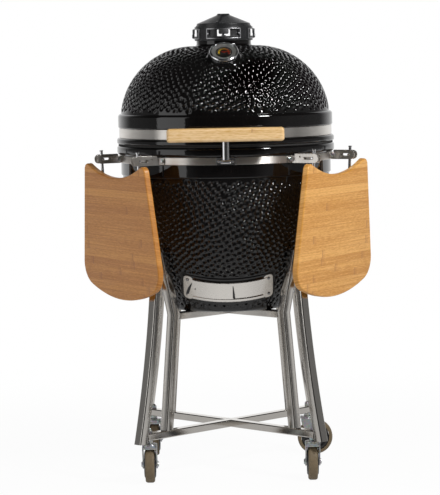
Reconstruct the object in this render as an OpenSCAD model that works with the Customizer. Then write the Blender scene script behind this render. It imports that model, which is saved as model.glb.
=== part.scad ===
// Kamado ceramic grill on a wheeled tube stand, with a hinged lid and two folding side shelves.
// Millimetres, +Z up. The origin is on the floor, below the axis of the bowl. The front faces -Y.

/* [Bowl] */
// Outer radius of the two rims at the seam
rim_r = 299; // [290:1:310]
// Height of the bowl, from its flat underside to the seam
bowl_h = 453; // [430:1:480]
// Radius of the curve of the bowl's side, seen in section
bowl_arc_r = 1000; // [850:10:1300]
// Lean of the side where it leaves the collar, in degrees
bowl_lean = 7; // [4:0.5:9]
// Height of the bowl's rim
bowl_rim_h = 26; // [22:1:32]
// How far the collar is set in from the rim
collar_inset = 10; // [8:1:14]
// Height of the smooth collar under the bowl's band
collar_h = 37; // [25:1:50]
// How far the dimpled side is set in from the collar
side_inset = 4; // [2:0.5:7]
// Thickness of the bowl's wall
bowl_wall = 28; // [24:1:34]
// Thickness of the bowl's floor
bowl_floor = 30; // [24:1:40]
// Radius of the edge round the underside
foot_round = 18; // [10:1:24]

/* [Lid] */
// Height of the crown above the seam
crown_h = 266; // [250:1:285]
// Radius of the shoulder of the dome
shoulder_r = 202; // [185:1:215]
// How far the dome is set in from the rim
dome_inset = 11; // [8:1:16]
// Height of the lid's rim
lid_rim_h = 16.5; // [13:0.5:24]
// Height of the smooth collar above the lid's band
lid_collar_h = 39; // [30:1:50]
// How far the lid's collar is set in from the rim
lid_collar_inset = 4; // [2:0.5:6]
// Thickness of the lid's wall
lid_wall = 26; // [22:1:32]
// Outer radius of the neck under the vent
neck_r = 75; // [70:0.5:80]
// Height of the neck above the crown
neck_h = 20; // [16:1:26]
// Radius of the flue through the neck
flue_r = 52; // [40:1:58]

/* [Bands and felt] */
// Thickness of the two steel bands
band_t = 3; // [2:0.5:4]
// Height of the bowl's band
base_band_h = 20; // [16:1:24]
// Height of the lid's band
lid_band_h = 27; // [22:1:32]
// Thickness of each felt seal
felt_t = 2.2; // [1.5:0.1:4]
// Width of each felt seal
felt_w = 22; // [16:1:26]

/* [Stand] */
// Height of the seat for the bowl above the floor
stand_h = 456; // [430:1:480]
// Side of the square leg tubes
tube_w = 26; // [22:1:28]
// Radius of the tubes' edges
tube_round = 3; // [1.5:0.5:5]
// Height of the cross bars
bar_h = 20; // [16:1:24]
// Width of the cross bars
bar_w = 26; // [20:1:28]
// Distance of an outer leg's foot from the axis
outer_foot_r = 343; // [330:1:360]
// Distance of an outer leg's top outwards from the cradle's top
outer_top_out = 13; // [8:1:18]
// Radius of the outer legs' gentle bow
leg_bow_r = 3300; // [2400:100:6000]
// Distance of an inner leg's foot from the axis
inner_foot_r = 245; // [230:1:260]
// Distance of an inner leg's knee outwards from the edge of the bowl's underside
knee_out = 47.5; // [41:0.5:56]
// Height of the leaning cradle above the seat
cradle_h = 168; // [140:1:190]

/* [Casters] */
// Wheel diameter
wheel_d = 100; // [90:1:104]
// Width of the tread
tread_w = 25; // [20:1:28]
// Diameter of the wheel's core under the tread
core_d = 80; // [66:1:84]
// Width over the two hub covers
cover_w = 31; // [29:0.5:34]
// Height of a caster up to the top of its swivel head
caster_h = 111; // [108:1:116]
// Diameter of the swivel head
head_d = 42; // [38:1:46]
// Distance from an outer leg's foot in to its swivel
caster_in = 32; // [29:1:37]
// Distance from the swivel to the axle
trail = 22; // [14:1:28]
// Thickness of the fork's cheeks
fork_t = 3; // [2:0.5:4]
// Diameter of the axles
axle_d = 10; // [8:0.5:12]
// Diameter of the swivel stems
stem_d = 10; // [8:0.5:12]
// Thickness of the washer between a swivel head and its bar
washer_t = 8; // [5:0.5:10]
// Turn of the rear right caster from straight ahead, in degrees
rear_right_turn = -90; // [-180:5:180]

/* [Vent] */
// Outer radius of the vent ring
vent_r = 79.5; // [78:0.5:86]
// Height of the vent ring
vent_h = 38; // [34:1:44]
// Width of each framed slot, measured round the ring
slot_w = 92; // [60:1:100]
// Height of each framed slot
slot_h = 23; // [16:1:24]
// Height of the ring's lower edge above the crown
vent_lift = 14; // [8:1:15]
// Outer radius of the turning roof
roof_r = 73.5; // [70:0.5:76]
// Height of the roof's upright rim
roof_rim_h = 8; // [5:0.5:12]
// Height of the roof's cone above its rim
roof_cone_h = 24; // [18:1:30]
// Radius of the hub at the peak
roof_hub_r = 16; // [12:1:20]
// Direction of the grip fin from the front, in degrees
fin_turn = -14; // [-30:1:30]

/* [Thermometer] */
// Diameter of the bezel
bezel_d = 78; // [70:1:84]
// Height of the dial's axis above the horizontal, in degrees
dial_tilt = 50; // [45:1:58]
// Distance of the dial's centre from the lid's axis
dial_out = 190; // [180:1:200]
// Depth of the thermometer's case
case_h = 15; // [13:0.5:20]
// Diameter of the probe
probe_d = 6; // [4:0.5:8]
// Length of the probe behind the case
probe_l = 70; // [50:1:90]

/* [Handle] */
// Length of the handle bar
handle_l = 308; // [260:1:330]
// Height of the handle bar
handle_h = 36; // [30:1:42]
// Depth of the handle bar
handle_d = 32; // [26:1:38]
// Clear distance from the lid's rim to the back of the bar
finger_gap = 31; // [26:1:45]
// Distance between the handle's two posts
post_span = 220; // [180:1:240]
// Diameter of the handle's posts
post_d = 18; // [14:1:22]

/* [Latch] */
// Width of the latch lever
lever_w = 19; // [15:1:24]
// Thickness of the latch lever
lever_t = 8; // [6:0.5:10]
// Length of the lever above its pin
lever_l = 68; // [56:1:72]
// Width of the latch's plate
latch_plate_w = 52; // [46:1:64]
// Diameter of the latch's pin
latch_pin_d = 5; // [4:0.5:6]

/* [Hinge] */
// Distance of the hinge pin behind the rims
hinge_out = 33; // [29:1:46]
// Drop of the hinge pin below the seam
hinge_drop = 13; // [10:1:16]
// Diameter of the hinge pin
hinge_pin_d = 12; // [10:0.5:14]
// Distance between the lid's two hinge arms
hinge_arm_span = 150; // [130:1:170]
// Thickness of the hinge arms
hinge_arm_t = 6; // [4:0.5:8]
// Width of the hinge arms
hinge_arm_w = 24; // [20:1:26]
// Wire diameter of the two hinge springs
spring_wire = 4; // [3:0.5:5]
// Number of turns of each hinge spring
spring_turns = 11; // [6:1:12]

/* [Shelves] */
// Direction of each shelf from straight ahead, in degrees
shelf_turn = 60; // [56:1:64]
// Thickness of a shelf board
board_t = 17; // [14:1:20]
// Distance from the pins down to the tips of the horns
horn_drop = 12; // [10:1:28]
// Half the distance between the horns' centres
horn_v = 157; // [150:1:166]
// Radius of the horns' round tips
horn_r = 18; // [8:1:20]
// Radius of the hollow top edge
hollow_r = 358; // [300:1:420]
// Distance from the pins down to the lowest point of the board
board_drop = 378; // [350:1:400]
// Radius of the bowed lower edge
lower_arc_r = 504; // [420:1:700]
// Spread of each side of the board, in degrees
board_spread = 9; // [3:0.1:10]
// Radius of the board's lower corners
board_corner_r = 59; // [40:1:70]
// How far a hanging shelf leans in, in degrees
hang_lean = 3; // [0:0.1:4]
// Half the distance between a shelf's two rods
rod_v = 106; // [98:1:112]
// Diameter of the rods
rod_d = 8; // [6:0.5:9]
// Length of the rods below the pins
rod_l = 300; // [220:1:320]
// Diameter of the cross pins
cross_pin_d = 6; // [5:0.5:7]
// Distance of the cross pins out from the rims
pin_out = 31; // [27:1:37]
// Height of the shelf arms
arm_h = 25; // [22:1:28]
// Thickness of an arm's cheeks
cheek_t = 2.5; // [2:0.5:3]
// Clear width between an arm's cheeks
arm_gap = 14; // [12:0.5:16]
// Length of an arm beyond the cross pin
arm_nose = 18; // [15:1:22]
// Length of the slot in an arm
arm_slot_l = 28; // [22:1:32]

/* [Draft door] */
// Height of the draft opening's centre above the bowl's underside
draft_up = 59; // [56:1:64]
// Radius that the frame and doors are bent to
draft_r = 220; // [215:1:232]
// Lean of the frame, in degrees
draft_tilt = 26; // [25:0.5:27]
// How far the flat seat stands out of the bowl
draft_proud = 3; // [2:0.5:5]
// Width of the frame
frame_w = 241; // [225:1:250]
// Height of the frame at its ears
frame_h = 70; // [64:1:74]
// Width of the opening through the wall
draft_open_w = 176; // [150:1:186]
// Height of the opening through the wall
draft_open_h = 40; // [34:1:44]
// Thickness of the frame and door sheets
sheet_t = 1.2; // [1:0.1:1.5]

/* [Inside] */
// Thickness of the fire box and fire ring
liner_t = 22; // [18:1:26]
// Height of the fire box
fire_box_h = 212; // [190:1:230]
// Height of the fire ring
fire_ring_h = 110; // [90:1:116]
// Height of the ash space under the charcoal
ash_h = 62; // [58:1:76]
// Space between the charcoal grate and the fire box round it
coal_gap = 18; // [14:1:26]
// How far the charcoal grate lies on its shelf
coal_lap = 18; // [12:1:24]
// How far the cooking grate lies on the fire ring
grate_lap = 13.5; // [8:0.5:16]
// Diameter of the cooking grate's bars
grate_bar_d = 5; // [4:0.5:6]
// Distance between the cooking grate's bars
grate_pitch = 24; // [20:1:34]

/* [Fits] */
// Radial play of a pin in its bore
pin_play = 0.05; // [0.02:0.01:0.1]
// Space between parts that slide past each other
slide_play = 0.4; // [0.3:0.05:0.6]
// Space between seated parts
seat_play = 0.2; // [0.1:0.05:0.4]
// Space between the two felt seals when the lid is shut
seam_play = 0.3; // [0.2:0.05:0.6]

/* [Hidden] */
$fn = 96;
fine = 360;
fuse = 2;

// Heights of the bowl and lid
bowl_z = stand_h;
seam_z = bowl_z + bowl_h;
bowl_top = seam_z - felt_t;
lid_bottom = seam_z + seam_play + felt_t;
base_band_top = bowl_top - bowl_rim_h;
base_band_z = base_band_top - base_band_h;
collar_z = base_band_z - collar_h;
collar_r = rim_r - collar_inset;
floor_z = bowl_z + bowl_floor;
lid_band_z = lid_bottom + lid_rim_h;
lid_collar_z = lid_band_z + lid_band_h;
lid_collar_top = lid_collar_z + lid_collar_h;
crown_z = seam_z + crown_h;
neck_top = crown_z + neck_h;
dome_r = rim_r - dome_inset;
crown_r = dome_r - shoulder_r;
shoulder_z = crown_z - shoulder_r;
band_r = collar_r + seat_play + band_t;
felt_r = rim_r - 4;

// Pads that bolt on the bands: inner radius, thickness and the angle of a length round a radius
pad_r = band_r + seat_play;
pad_t = 3;
function arc_turn(length, r) = length / r * 180 / PI;

// Side curve of the bowl: its centre, and its radius at a height
side_r = collar_r - side_inset;
bowl_cx = side_r - bowl_arc_r * cos(bowl_lean);
bowl_cz = collar_z + bowl_arc_r * sin(bowl_lean);
function bowl_radius(z) = bowl_cx + sqrt(pow(bowl_arc_r, 2) - pow(bowl_cz - z, 2));
foot_z = bowl_z + foot_round;
foot_c = [bowl_cx + sqrt(pow(bowl_arc_r - foot_round, 2) - pow(bowl_cz - foot_z, 2)), foot_z];
foot_k = bowl_arc_r / (bowl_arc_r - foot_round);
foot_t = [bowl_cx + (foot_c[0] - bowl_cx) * foot_k, bowl_cz + (foot_z - bowl_cz) * foot_k];

// Corners of the stand: names follow the order front left, front right, rear left, rear right
corner_turn = [225, 315, 135, 45];
caster_turn = [0, 0, 0, rear_right_turn];
caster_r = outer_foot_r - caster_in;
bar_z = caster_h + washer_t;
bar_top = bar_z + bar_h;
upper_bar_z = stand_h - bar_h;
leg_foot_z = caster_h + 1;
leg_top_z = stand_h + cradle_h;
knee_z = stand_h - 4;
cradle_gap = 1.5;
cradle_top_r = bowl_radius(leg_top_z) + tube_w / 2 + cradle_gap;
outer_top_r = cradle_top_r + outer_top_out;
knee_r = bowl_radius(bowl_z) + knee_out;

// Shelf pins
pin_u = rim_r + pin_out;
pin_z = base_band_z + base_band_h / 2 + 2;
rod_tail = 24;

// Shelf outline, in a plane with v across and h down from the pins
hollow_c = [0, horn_drop + horn_r - sqrt(pow(hollow_r + horn_r, 2) - pow(horn_v, 2))];
horn_c = [horn_v, horn_drop + horn_r];
horn_touch = hollow_c + (horn_c - hollow_c) * hollow_r / (hollow_r + horn_r);
side_out = [cos(board_spread), -sin(board_spread)];
side_down = [sin(board_spread), cos(board_spread)];
lower_c = [0, board_drop - lower_arc_r];
corner_q = horn_c + side_out * (horn_r - board_corner_r) - lower_c;
corner_b = corner_q * side_down;
corner_s = -corner_b + sqrt(pow(corner_b, 2) - corner_q * corner_q + pow(lower_arc_r - board_corner_r, 2));
corner_c = lower_c + corner_q + side_down * corner_s;
corner_low = lower_c + (corner_c - lower_c) * lower_arc_r / (lower_arc_r - board_corner_r);

// Draft door
draft_z = bowl_z + draft_up;
draft_front = bowl_radius(draft_z) + draft_proud;
back_r = draft_r + seat_play;
channel_r = back_r + sheet_t;
rear_door_r = channel_r + slide_play;
front_door_r = rear_door_r + sheet_t + slide_play;
lip_r = front_door_r + sheet_t + slide_play;
rail_half = frame_h / 2 - 6;
door_h = 2 * (rail_half - sheet_t - slide_play);

// Vent
vent_z = crown_z + vent_lift;
vent_top = vent_z + vent_h;
vent_wall = 3;
sleeve_r = vent_r - vent_wall - slide_play;
sleeve_t = 2;
slot_z = vent_z + vent_h / 2;
roof_z = vent_top + slide_play;
roof_top = roof_z + roof_rim_h + roof_cone_h;
frame_border = 3;
frame_t = 4;

// Thermometer: its boss stands on the shoulder of the dome
boss_sin = (dial_out - crown_r) / shoulder_r;
boss_z = shoulder_z + shoulder_r * sqrt(1 - boss_sin * boss_sin);
boss_lift = 5;
boss_r = bezel_d / 2 + 3;
dial_t = 1.5;
dial_seat = 9;
needle_lift = 1.6;
glass_r = bezel_d / 2 - 4;

// Handle, latch and hinge
handle_z = lid_band_z + lid_band_h / 2 + 1;
handle_back = rim_r + finger_gap;
post_y = sqrt(pow(band_r, 2) - pow(post_span / 2, 2));
latch_y = rim_r + slide_play + 4 + lever_t / 2;
latch_z = base_band_z + base_band_h / 2 - 1;
hinge_y = rim_r + hinge_out;
hinge_z = seam_z - hinge_drop;
spring_r = hinge_pin_d / 2 + slide_play + spring_wire / 2;
spring_pitch = spring_wire * 0.96;
knuckle_gap = 0.5;

// Small building shapes

// Rectangle with round corners, about its centre
module rounded_rect(w, h, r) {
    square([w - 2 * r, h], center = true);
    square([w, h - 2 * r], center = true);
    for (x = [-1, 1], y = [-1, 1])
        translate([x * (w / 2 - r), y * (h / 2 - r)]) circle(r);
}

// Bar with round ends between two points
module capsule(a, b, r) {
    d = b - a;
    translate(a) circle(r);
    translate(b) circle(r);
    translate((a + b) / 2)
        rotate(atan2(d[1], d[0])) square([norm(d), 2 * r], center = true);
}

// Half section of a disc with rounded lower and upper edges
module disc_section(r, z0, z1, low, high) {
    translate([0, z0 + low]) square([r, z1 - z0 - low - high]);
    translate([0, z0]) square([r - low, low + fuse]);
    translate([0, z1 - high - fuse]) square([r - high, high + fuse]);
    translate([r - low, z0 + low]) circle(low);
    translate([r - high, z1 - high]) circle(high);
}

// Half section of a ring
module ring_section(r0, r1, z0, z1) {
    translate([r0, z0]) square([r1 - r0, z1 - z0]);
}

// Part of a ring about a vertical axis, centred on the front
module front_arc(r0, r1, h, a) {
    rotate([0, 0, -90 - a / 2])
        rotate_extrude(angle = a) translate([r0, -h / 2]) square([r1 - r0, h]);
}

// Stands a flat drawing up in the plane of a radius: drawn x is outwards, drawn y is up
module upright(t) {
    rotate([90, 0, 0]) linear_extrude(t, center = true) children();
}

// Bowl

module bowl_side(r) {
    translate([bowl_cx, bowl_cz]) circle(r, $fn = fine);
}

module base_outline() {
    intersection() {
        bowl_side(bowl_arc_r);
        polygon([
            [0, foot_z], foot_c, foot_t, [rim_r, foot_t[1]], [rim_r, collar_z + fuse], [0, collar_z + fuse]
        ]);
    }
    translate(foot_c) circle(foot_round);
    translate([0, bowl_z]) square([foot_c[0], foot_round + fuse]);
    disc_section(collar_r, collar_z, base_band_top + fuse, 5, 1);
    disc_section(rim_r, base_band_top, bowl_top, 9, 7);
}

module base_hollow() {
    intersection() {
        bowl_side(bowl_arc_r - bowl_wall);
        translate([0, floor_z]) square([rim_r, bowl_h]);
    }
}

module draft_place() {
    translate([0, -draft_front, draft_z]) rotate([draft_tilt, 0, 0]) children();
}

// Sheet bent to the draft door's curve, cut to a flat outline seen from the front
module bent_sheet(r0, r1) {
    intersection() {
        translate([0, draft_r, 0]) difference() {
            cylinder(h = frame_h + 20, r = r1, center = true, $fn = fine);
            cylinder(h = frame_h + 30, r = r0, center = true, $fn = fine);
        }
        translate([0, draft_r / 2, 0]) rotate([90, 0, 0]) linear_extrude(draft_r + 40) children();
    }
}

module base_shell() {
    seat_depth = 22;
    color([0.05, 0.05, 0.06]) difference() {
        union() {
            rotate_extrude() base_outline();
            draft_place() bent_sheet(draft_r - seat_depth, draft_r)
                rounded_rect(frame_w + 6, frame_h + 6, 10);
        }
        rotate_extrude() base_hollow();
        draft_place() rotate([90, 0, 0])
            linear_extrude(4 * bowl_wall, center = true) rounded_rect(draft_open_w, draft_open_h, 6);
    }
}

module base_gasket() {
    color([0.12, 0.12, 0.12]) rotate_extrude() ring_section(felt_r - felt_w, felt_r, bowl_top, seam_z);
}

module base_band() {
    color([0.72, 0.7, 0.67]) rotate_extrude()
        translate([band_r - band_t / 2, base_band_z + base_band_h / 2])
            rounded_rect(band_t, base_band_h - 2 * seat_play, band_t / 3);
}

// Inside

fire_side_r = bowl_arc_r - bowl_wall - 6;
fire_box_top = floor_z + fire_box_h;
fire_shelf_z = floor_z + ash_h;
fire_ring_top = fire_box_top + fire_ring_h;
fire_shelf_t = 16;
coal_z = fire_shelf_z + fire_shelf_t;
function liner_inside(z) = bowl_cx + sqrt(pow(fire_side_r - liner_t, 2) - pow(bowl_cz - z, 2));
coal_grate_r = liner_inside(coal_z) - coal_gap;
grate_r = liner_inside(fire_ring_top) + grate_lap;

module liner_section(z0, z1) {
    intersection() {
        difference() {
            bowl_side(fire_side_r);
            bowl_side(fire_side_r - liner_t);
        }
        translate([0, z0]) square([rim_r, z1 - z0]);
    }
}

module fire_box() {
    color([0.62, 0.55, 0.46]) difference() {
        rotate_extrude() {
            liner_section(floor_z, fire_box_top);
            intersection() {
                bowl_side(fire_side_r - liner_t / 2);
                ring_section(coal_grate_r - coal_lap, rim_r, fire_shelf_z, coal_z);
            }
        }
        translate([-draft_open_w / 2, -rim_r, floor_z - fuse])
            cube([draft_open_w, rim_r, ash_h - 12 + fuse]);
    }
}

module fire_ring() {
    notch_w = 36;
    notch_h = 26;
    color([0.62, 0.55, 0.46]) difference() {
        rotate_extrude() liner_section(fire_box_top, fire_ring_top);
        for (a = [45 : 90 : 315])
            rotate(a) translate([0, -notch_w / 2, fire_ring_top - notch_h])
                cube([rim_r, notch_w, 2 * notch_h]);
    }
}

module charcoal_grate() {
    grate_t = 9;
    slot_w = 11;
    first_r = 32;
    edge = 30;
    pitch = floor((coal_grate_r - edge - first_r) / 2);
    color([0.14, 0.14, 0.14]) translate([0, 0, coal_z]) difference() {
        cylinder(h = grate_t, r = coal_grate_r);
        for (ring = [0 : 2], k = [0 : 5 + 6 * ring])
            rotate((k + ring / 2) * 360 / (6 + 6 * ring))
                translate([first_r + pitch * ring, 0, grate_t / 2])
                    linear_extrude(2 * grate_t, center = true) rounded_rect(pitch - slot_w, slot_w, 5);
    }
}

module cooking_grate() {
    z = fire_ring_top + grate_bar_d / 2;
    bars = floor((grate_r - grate_bar_d) / grate_pitch);
    color([0.75, 0.74, 0.72]) {
        translate([0, 0, z]) rotate_extrude()
            translate([grate_r - grate_bar_d / 2, 0]) circle(d = grate_bar_d);
        for (k = [-bars : bars])
            translate([k * grate_pitch, 0, z]) rotate([90, 0, 0])
                cylinder(h = 2 * (sqrt(pow(grate_r, 2) - pow(k * grate_pitch, 2)) - grate_bar_d / 2),
                    d = grate_bar_d - 1, center = true, $fn = 24);
    }
}

// Draft door

module frame_outline() {
    ear_w = 26;
    rounded_rect(frame_w - 8, 2 * rail_half, 6);
    for (x = [-1, 1])
        translate([x * (frame_w - ear_w) / 2, 0]) rounded_rect(ear_w, frame_h, 11);
}

module draft_frame() {
    rail_w = frame_w - 48;
    screw_d = 5;
    color([0.74, 0.71, 0.68]) draft_place() {
        bent_sheet(back_r, channel_r) difference() {
            frame_outline();
            rounded_rect(draft_open_w - 6, draft_open_h, 4);
            for (x = [-1, 1], z = [-1, 1])
                translate([x * (frame_w / 2 - 11), z * (frame_h / 2 - 11)]) circle(d = screw_d);
        }
        for (s = [-1, 1]) {
            bent_sheet(channel_r, lip_r + sheet_t)
                translate([0, s * (rail_half - sheet_t / 2)]) square([rail_w, sheet_t], center = true);
            bent_sheet(lip_r, lip_r + sheet_t)
                translate([0, s * (rail_half - 3.5)]) square([rail_w, 7], center = true);
        }
    }
}

// The left door slides in front of the right one, and has a bent pull at each end
module draft_door_left() {
    left = -104;
    right = 13;
    slant = 8;
    pull_h = 36;
    pull_d = 9;
    lean = slant * pull_h / door_h;
    pull_x = left + sheet_t / 2;
    right_y = draft_r - sqrt(pow(front_door_r + sheet_t, 2) - pow(right - 1, 2));
    color([0.77, 0.74, 0.71]) draft_place() {
        bent_sheet(front_door_r, front_door_r + sheet_t) difference() {
            polygon([
                [left - slant, -door_h / 2], [right, -door_h / 2],
                [right, door_h / 2], [left + slant, door_h / 2]
            ]);
            translate([left + 15, 2]) circle(d = 4);
        }
        bent_sheet(front_door_r + sheet_t / 2, front_door_r + sheet_t + pull_d) polygon([
            [pull_x - lean, -pull_h / 2], [pull_x - lean + sheet_t, -pull_h / 2],
            [pull_x + lean + sheet_t, pull_h / 2], [pull_x + lean, pull_h / 2]
        ]);
        translate([right - sheet_t, right_y, 0]) rotate([90, 0, 90])
            linear_extrude(sheet_t) polygon([[0.4, -18], [-pull_d, -18], [-1, 19], [0.4, 19]]);
    }
}

module draft_door_right() {
    left = -4;
    right = 106;
    color([0.77, 0.74, 0.71]) draft_place()
        bent_sheet(rear_door_r, rear_door_r + sheet_t)
            translate([(left + right) / 2, 0]) square([right - left, door_h], center = true);
}

// Stand

module leg_section() {
    rounded_rect(tube_w, tube_w, tube_round);
}

// Straight tube between two points in the plane of a radius, run on past both ends
module radial_tube(a, b, extra) {
    d = b - a;
    translate([a[0], 0, a[1]]) rotate([0, 90 - atan2(d[1], d[0]), 0])
        translate([0, 0, -extra]) linear_extrude(norm(d) + 2 * extra) leg_section();
}

// Block that covers everything on one side of a line in the plane of a radius
module radial_cut(a, b, side) {
    d = b - a;
    reach = 900;
    translate([a[0], 0, a[1]]) rotate([0, -atan2(d[1], d[0]), 0])
        translate([-reach, -reach / 2, side > 0 ? 0 : -reach]) cube([2 * reach, reach, reach]);
}

knee = [knee_r, knee_z];
inner_foot = [inner_foot_r, bar_top];
cradle_top = [cradle_top_r, leg_top_z];
leg_up = (knee - inner_foot) / norm(knee - inner_foot);
leg_out = [leg_up[1], -leg_up[0]];
cradle_up = (cradle_top - knee) / norm(cradle_top - knee);
cradle_out = [cradle_up[1], -cradle_up[0]];
knee_across = leg_out + cradle_out;

module inner_leg(k) {
    color([0.72, 0.69, 0.65]) rotate(corner_turn[k]) {
        difference() {
            radial_tube(inner_foot, knee, tube_w);
            radial_cut(knee, knee + knee_across, 1);
            radial_cut(inner_foot, inner_foot + [1, 0], -1);
        }
        difference() {
            radial_tube(knee, cradle_top, tube_w);
            radial_cut(knee, knee + knee_across, -1);
            radial_cut(cradle_top, cradle_top + [1, 0], 1);
        }
    }
}

outer_foot = [outer_foot_r, leg_foot_z];
outer_top = [outer_top_r, leg_top_z];
outer_chord = outer_top - outer_foot;
outer_mid = (outer_top + outer_foot) / 2;
outer_normal = [outer_chord[1], -outer_chord[0]] / norm(outer_chord);
bow_c = outer_mid + outer_normal * sqrt(pow(leg_bow_r, 2) - pow(norm(outer_chord) / 2, 2));
bow_half = asin(norm(outer_chord) / 2 / leg_bow_r);
bow_turn = atan2(outer_mid[1] - bow_c[1], outer_mid[0] - bow_c[0]);
function outer_leg_face(z) = bow_c[0] - sqrt(pow(leg_bow_r + tube_w / 2, 2) - pow(z - bow_c[1], 2));

module outer_leg(k) {
    weld = knee + cradle_out * tube_w / 2;
    spare = 1;
    color([0.72, 0.69, 0.65]) rotate(corner_turn[k]) difference() {
        translate([bow_c[0], 0, bow_c[1]]) rotate([90, 0, 0]) rotate(bow_turn - bow_half - spare)
            rotate_extrude(angle = 2 * (bow_half + spare), $fn = fine)
                translate([leg_bow_r, 0]) leg_section();
        radial_cut(weld, weld + cradle_up, 1);
        radial_cut(outer_foot, outer_foot + [1, 0], -1);
        radial_cut(outer_top, outer_top + [1, 0], 1);
    }
}

// A cross is one long bar with two half bars butted against it
module cross_bars(z, reach) {
    half = reach - bar_w / 2;
    color([0.7, 0.67, 0.63]) {
        rotate(45) translate([-reach, 0, z + bar_h / 2]) rotate([90, 0, 90])
            linear_extrude(2 * reach) rounded_rect(bar_w, bar_h, tube_round);
        for (a = [135, 315])
            rotate(a) translate([bar_w / 2, 0, z + bar_h / 2]) rotate([90, 0, 90])
                linear_extrude(half) rounded_rect(bar_w, bar_h, tube_round);
    }
}

module lower_cross() {
    low = [outer_leg_face(bar_z) - seat_play, bar_z];
    high = [outer_leg_face(bar_top) - seat_play, bar_top];
    stem_hole_d = stem_d + 2 * seat_play;
    difference() {
        cross_bars(bar_z, outer_foot_r);
        for (a = corner_turn) rotate(a) {
            radial_cut(high, low, 1);
            translate([caster_r, 0, bar_z - fuse]) cylinder(h = bar_h + 2 * fuse, d = stem_hole_d);
        }
    }
}

module upper_cross() {
    leg_face = knee - leg_out * (tube_w / 2 + seat_play);
    cradle_face = knee - cradle_out * (tube_w / 2 + seat_play);
    difference() {
        cross_bars(upper_bar_z, knee_r);
        for (a = corner_turn) rotate(a) {
            radial_cut(leg_face + leg_up, leg_face, 1);
            radial_cut(cradle_face + cradle_up, cradle_face, 1);
        }
    }
}

// Casters

module at_caster(k) {
    rotate(corner_turn[k]) translate([caster_r, 0, 0]) rotate(caster_turn[k] - corner_turn[k]) children();
}

module at_axle(k) {
    at_caster(k) translate([0, trail, axle_z]) rotate([0, 90, 0]) children();
}

axle_z = wheel_d / 2;
fork_in = cover_w / 2 + 1.5;
head_h = 8.5;
head_z = caster_h - head_h;
stem_head_d = stem_d + 6;
stem_head_t = 3;

module caster_stems() {
    nut_d = 15;
    nut_h = 8;
    color([0.6, 0.6, 0.6]) for (k = [0 : 3]) at_caster(k) {
        translate([0, 0, head_z - stem_head_t - slide_play]) cylinder(h = stem_head_t, d = stem_head_d);
        translate([0, 0, head_z - fuse]) cylinder(h = bar_top + nut_h - head_z + fuse, d = stem_d);
        translate([0, 0, caster_h + slide_play]) cylinder(h = washer_t - slide_play, d = stem_d + 8);
        translate([0, 0, bar_top]) cylinder(h = nut_h, d = nut_d, $fn = 6);
        translate([0, 0, bar_top + nut_h]) sphere(d = stem_d + 1);
    }
}

// Fork with two leaning cheeks, a front web in front of the wheel, and its axle
module caster_fork(k) {
    axle_l = 2 * (fork_in + fork_t) + 7;
    eye_r = 12;
    cheek_x = fork_in + fork_t / 2;
    root_l = 30;
    root_h = 14;
    web_w = 2 * fork_in + fork_t;
    web_l = 11.5;
    web_h = 7;
    lap = 1;
    color([0.66, 0.69, 0.72]) at_caster(k) difference() {
        union() {
            translate([0, 0, head_z]) rotate_extrude() disc_section(head_d / 2, 0, head_h, 2, 3);
            for (s = [-1, 1])
                translate([s * cheek_x, 0, 0]) rotate([0, 0, 90]) upright(fork_t) {
                    capsule([trail, axle_z], [2, head_z - eye_r - lap], eye_r);
                    translate([-root_l / 2 - 2, head_z - root_h]) square([root_l, root_h + lap]);
                }
            translate([-web_w / 2, -16, head_z - web_h]) cube([web_w, web_l, web_h + lap / 2]);
        }
        translate([0, 0, head_z - web_h - lap])
            cylinder(h = web_h + 2 * lap, d = stem_head_d + 2 * slide_play);
        translate([0, 0, head_z - head_h]) cylinder(h = 3 * head_h, d = stem_d + 2 * slide_play);
    }
    color([0.66, 0.69, 0.72]) at_axle(k) cylinder(h = axle_l, d = axle_d, center = true);
}

module wheel_core(k) {
    cover_edge = 4;
    color([0.07, 0.07, 0.07]) at_axle(k) rotate_extrude() difference() {
        union() {
            ring_section(0, core_d / 2, -tread_w / 2 + 2, tread_w / 2 - 2);
            for (s = [0, 1]) mirror([0, s])
                disc_section(core_d / 2 - 2, tread_w / 2 - 2, cover_w / 2, 0.5, cover_edge);
        }
        translate([-wheel_d, -wheel_d / 2]) square([wheel_d + axle_d / 2 + pin_play, wheel_d]);
    }
}

module wheel_tread(k) {
    crown = 6;
    color([0.33, 0.27, 0.19]) at_axle(k) rotate_extrude() difference() {
        disc_section(wheel_d / 2, -tread_w / 2, tread_w / 2, crown, crown);
        translate([-wheel_d, -wheel_d / 2]) square([wheel_d + core_d / 2 + seat_play, wheel_d]);
    }
}

// Shelves: the right one is drawn, and the left one is its mirror image

module shelf_side(s) {
    mirror([s < 0 ? 1 : 0, 0, 0]) rotate(shelf_turn - 90) children();
}

arm_end = pin_u + arm_nose - arm_h / 2;
arm_root = sqrt(pow(band_r, 2) - pow(rod_v + arm_gap / 2 + cheek_t, 2)) + 4;
flange_turn = asin(rod_v / band_r);
flange_w = 50;

// Arm of two cheeks on a curved flange; e is -1 for the front arm and 1 for the rear arm
module shelf_arm(s, e) {
    slot_in = pin_u - arm_slot_l + cross_pin_d;
    color([0.75, 0.72, 0.68]) shelf_side(s) {
        difference() {
            for (c = [-1, 1])
                translate([0, e * rod_v + c * (arm_gap + cheek_t) / 2, 0]) upright(cheek_t) difference() {
                    capsule([arm_root - 20, pin_z], [arm_end, pin_z], arm_h / 2);
                    capsule([slot_in, pin_z], [pin_u, pin_z], cross_pin_d / 2 + slide_play);
                }
            rotate_extrude() ring_section(0, rim_r + 1, base_band_top - 2, seam_z);
            translate([0, 0, pin_z - arm_h]) cylinder(h = 2 * arm_h, r = pad_r + 1, $fn = fine);
        }
        rotate(e * flange_turn + 90) translate([0, 0, base_band_z + base_band_h / 2])
            front_arc(pad_r, pad_r + pad_t, base_band_h - 2, arc_turn(flange_w, band_r));
    }
}

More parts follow.
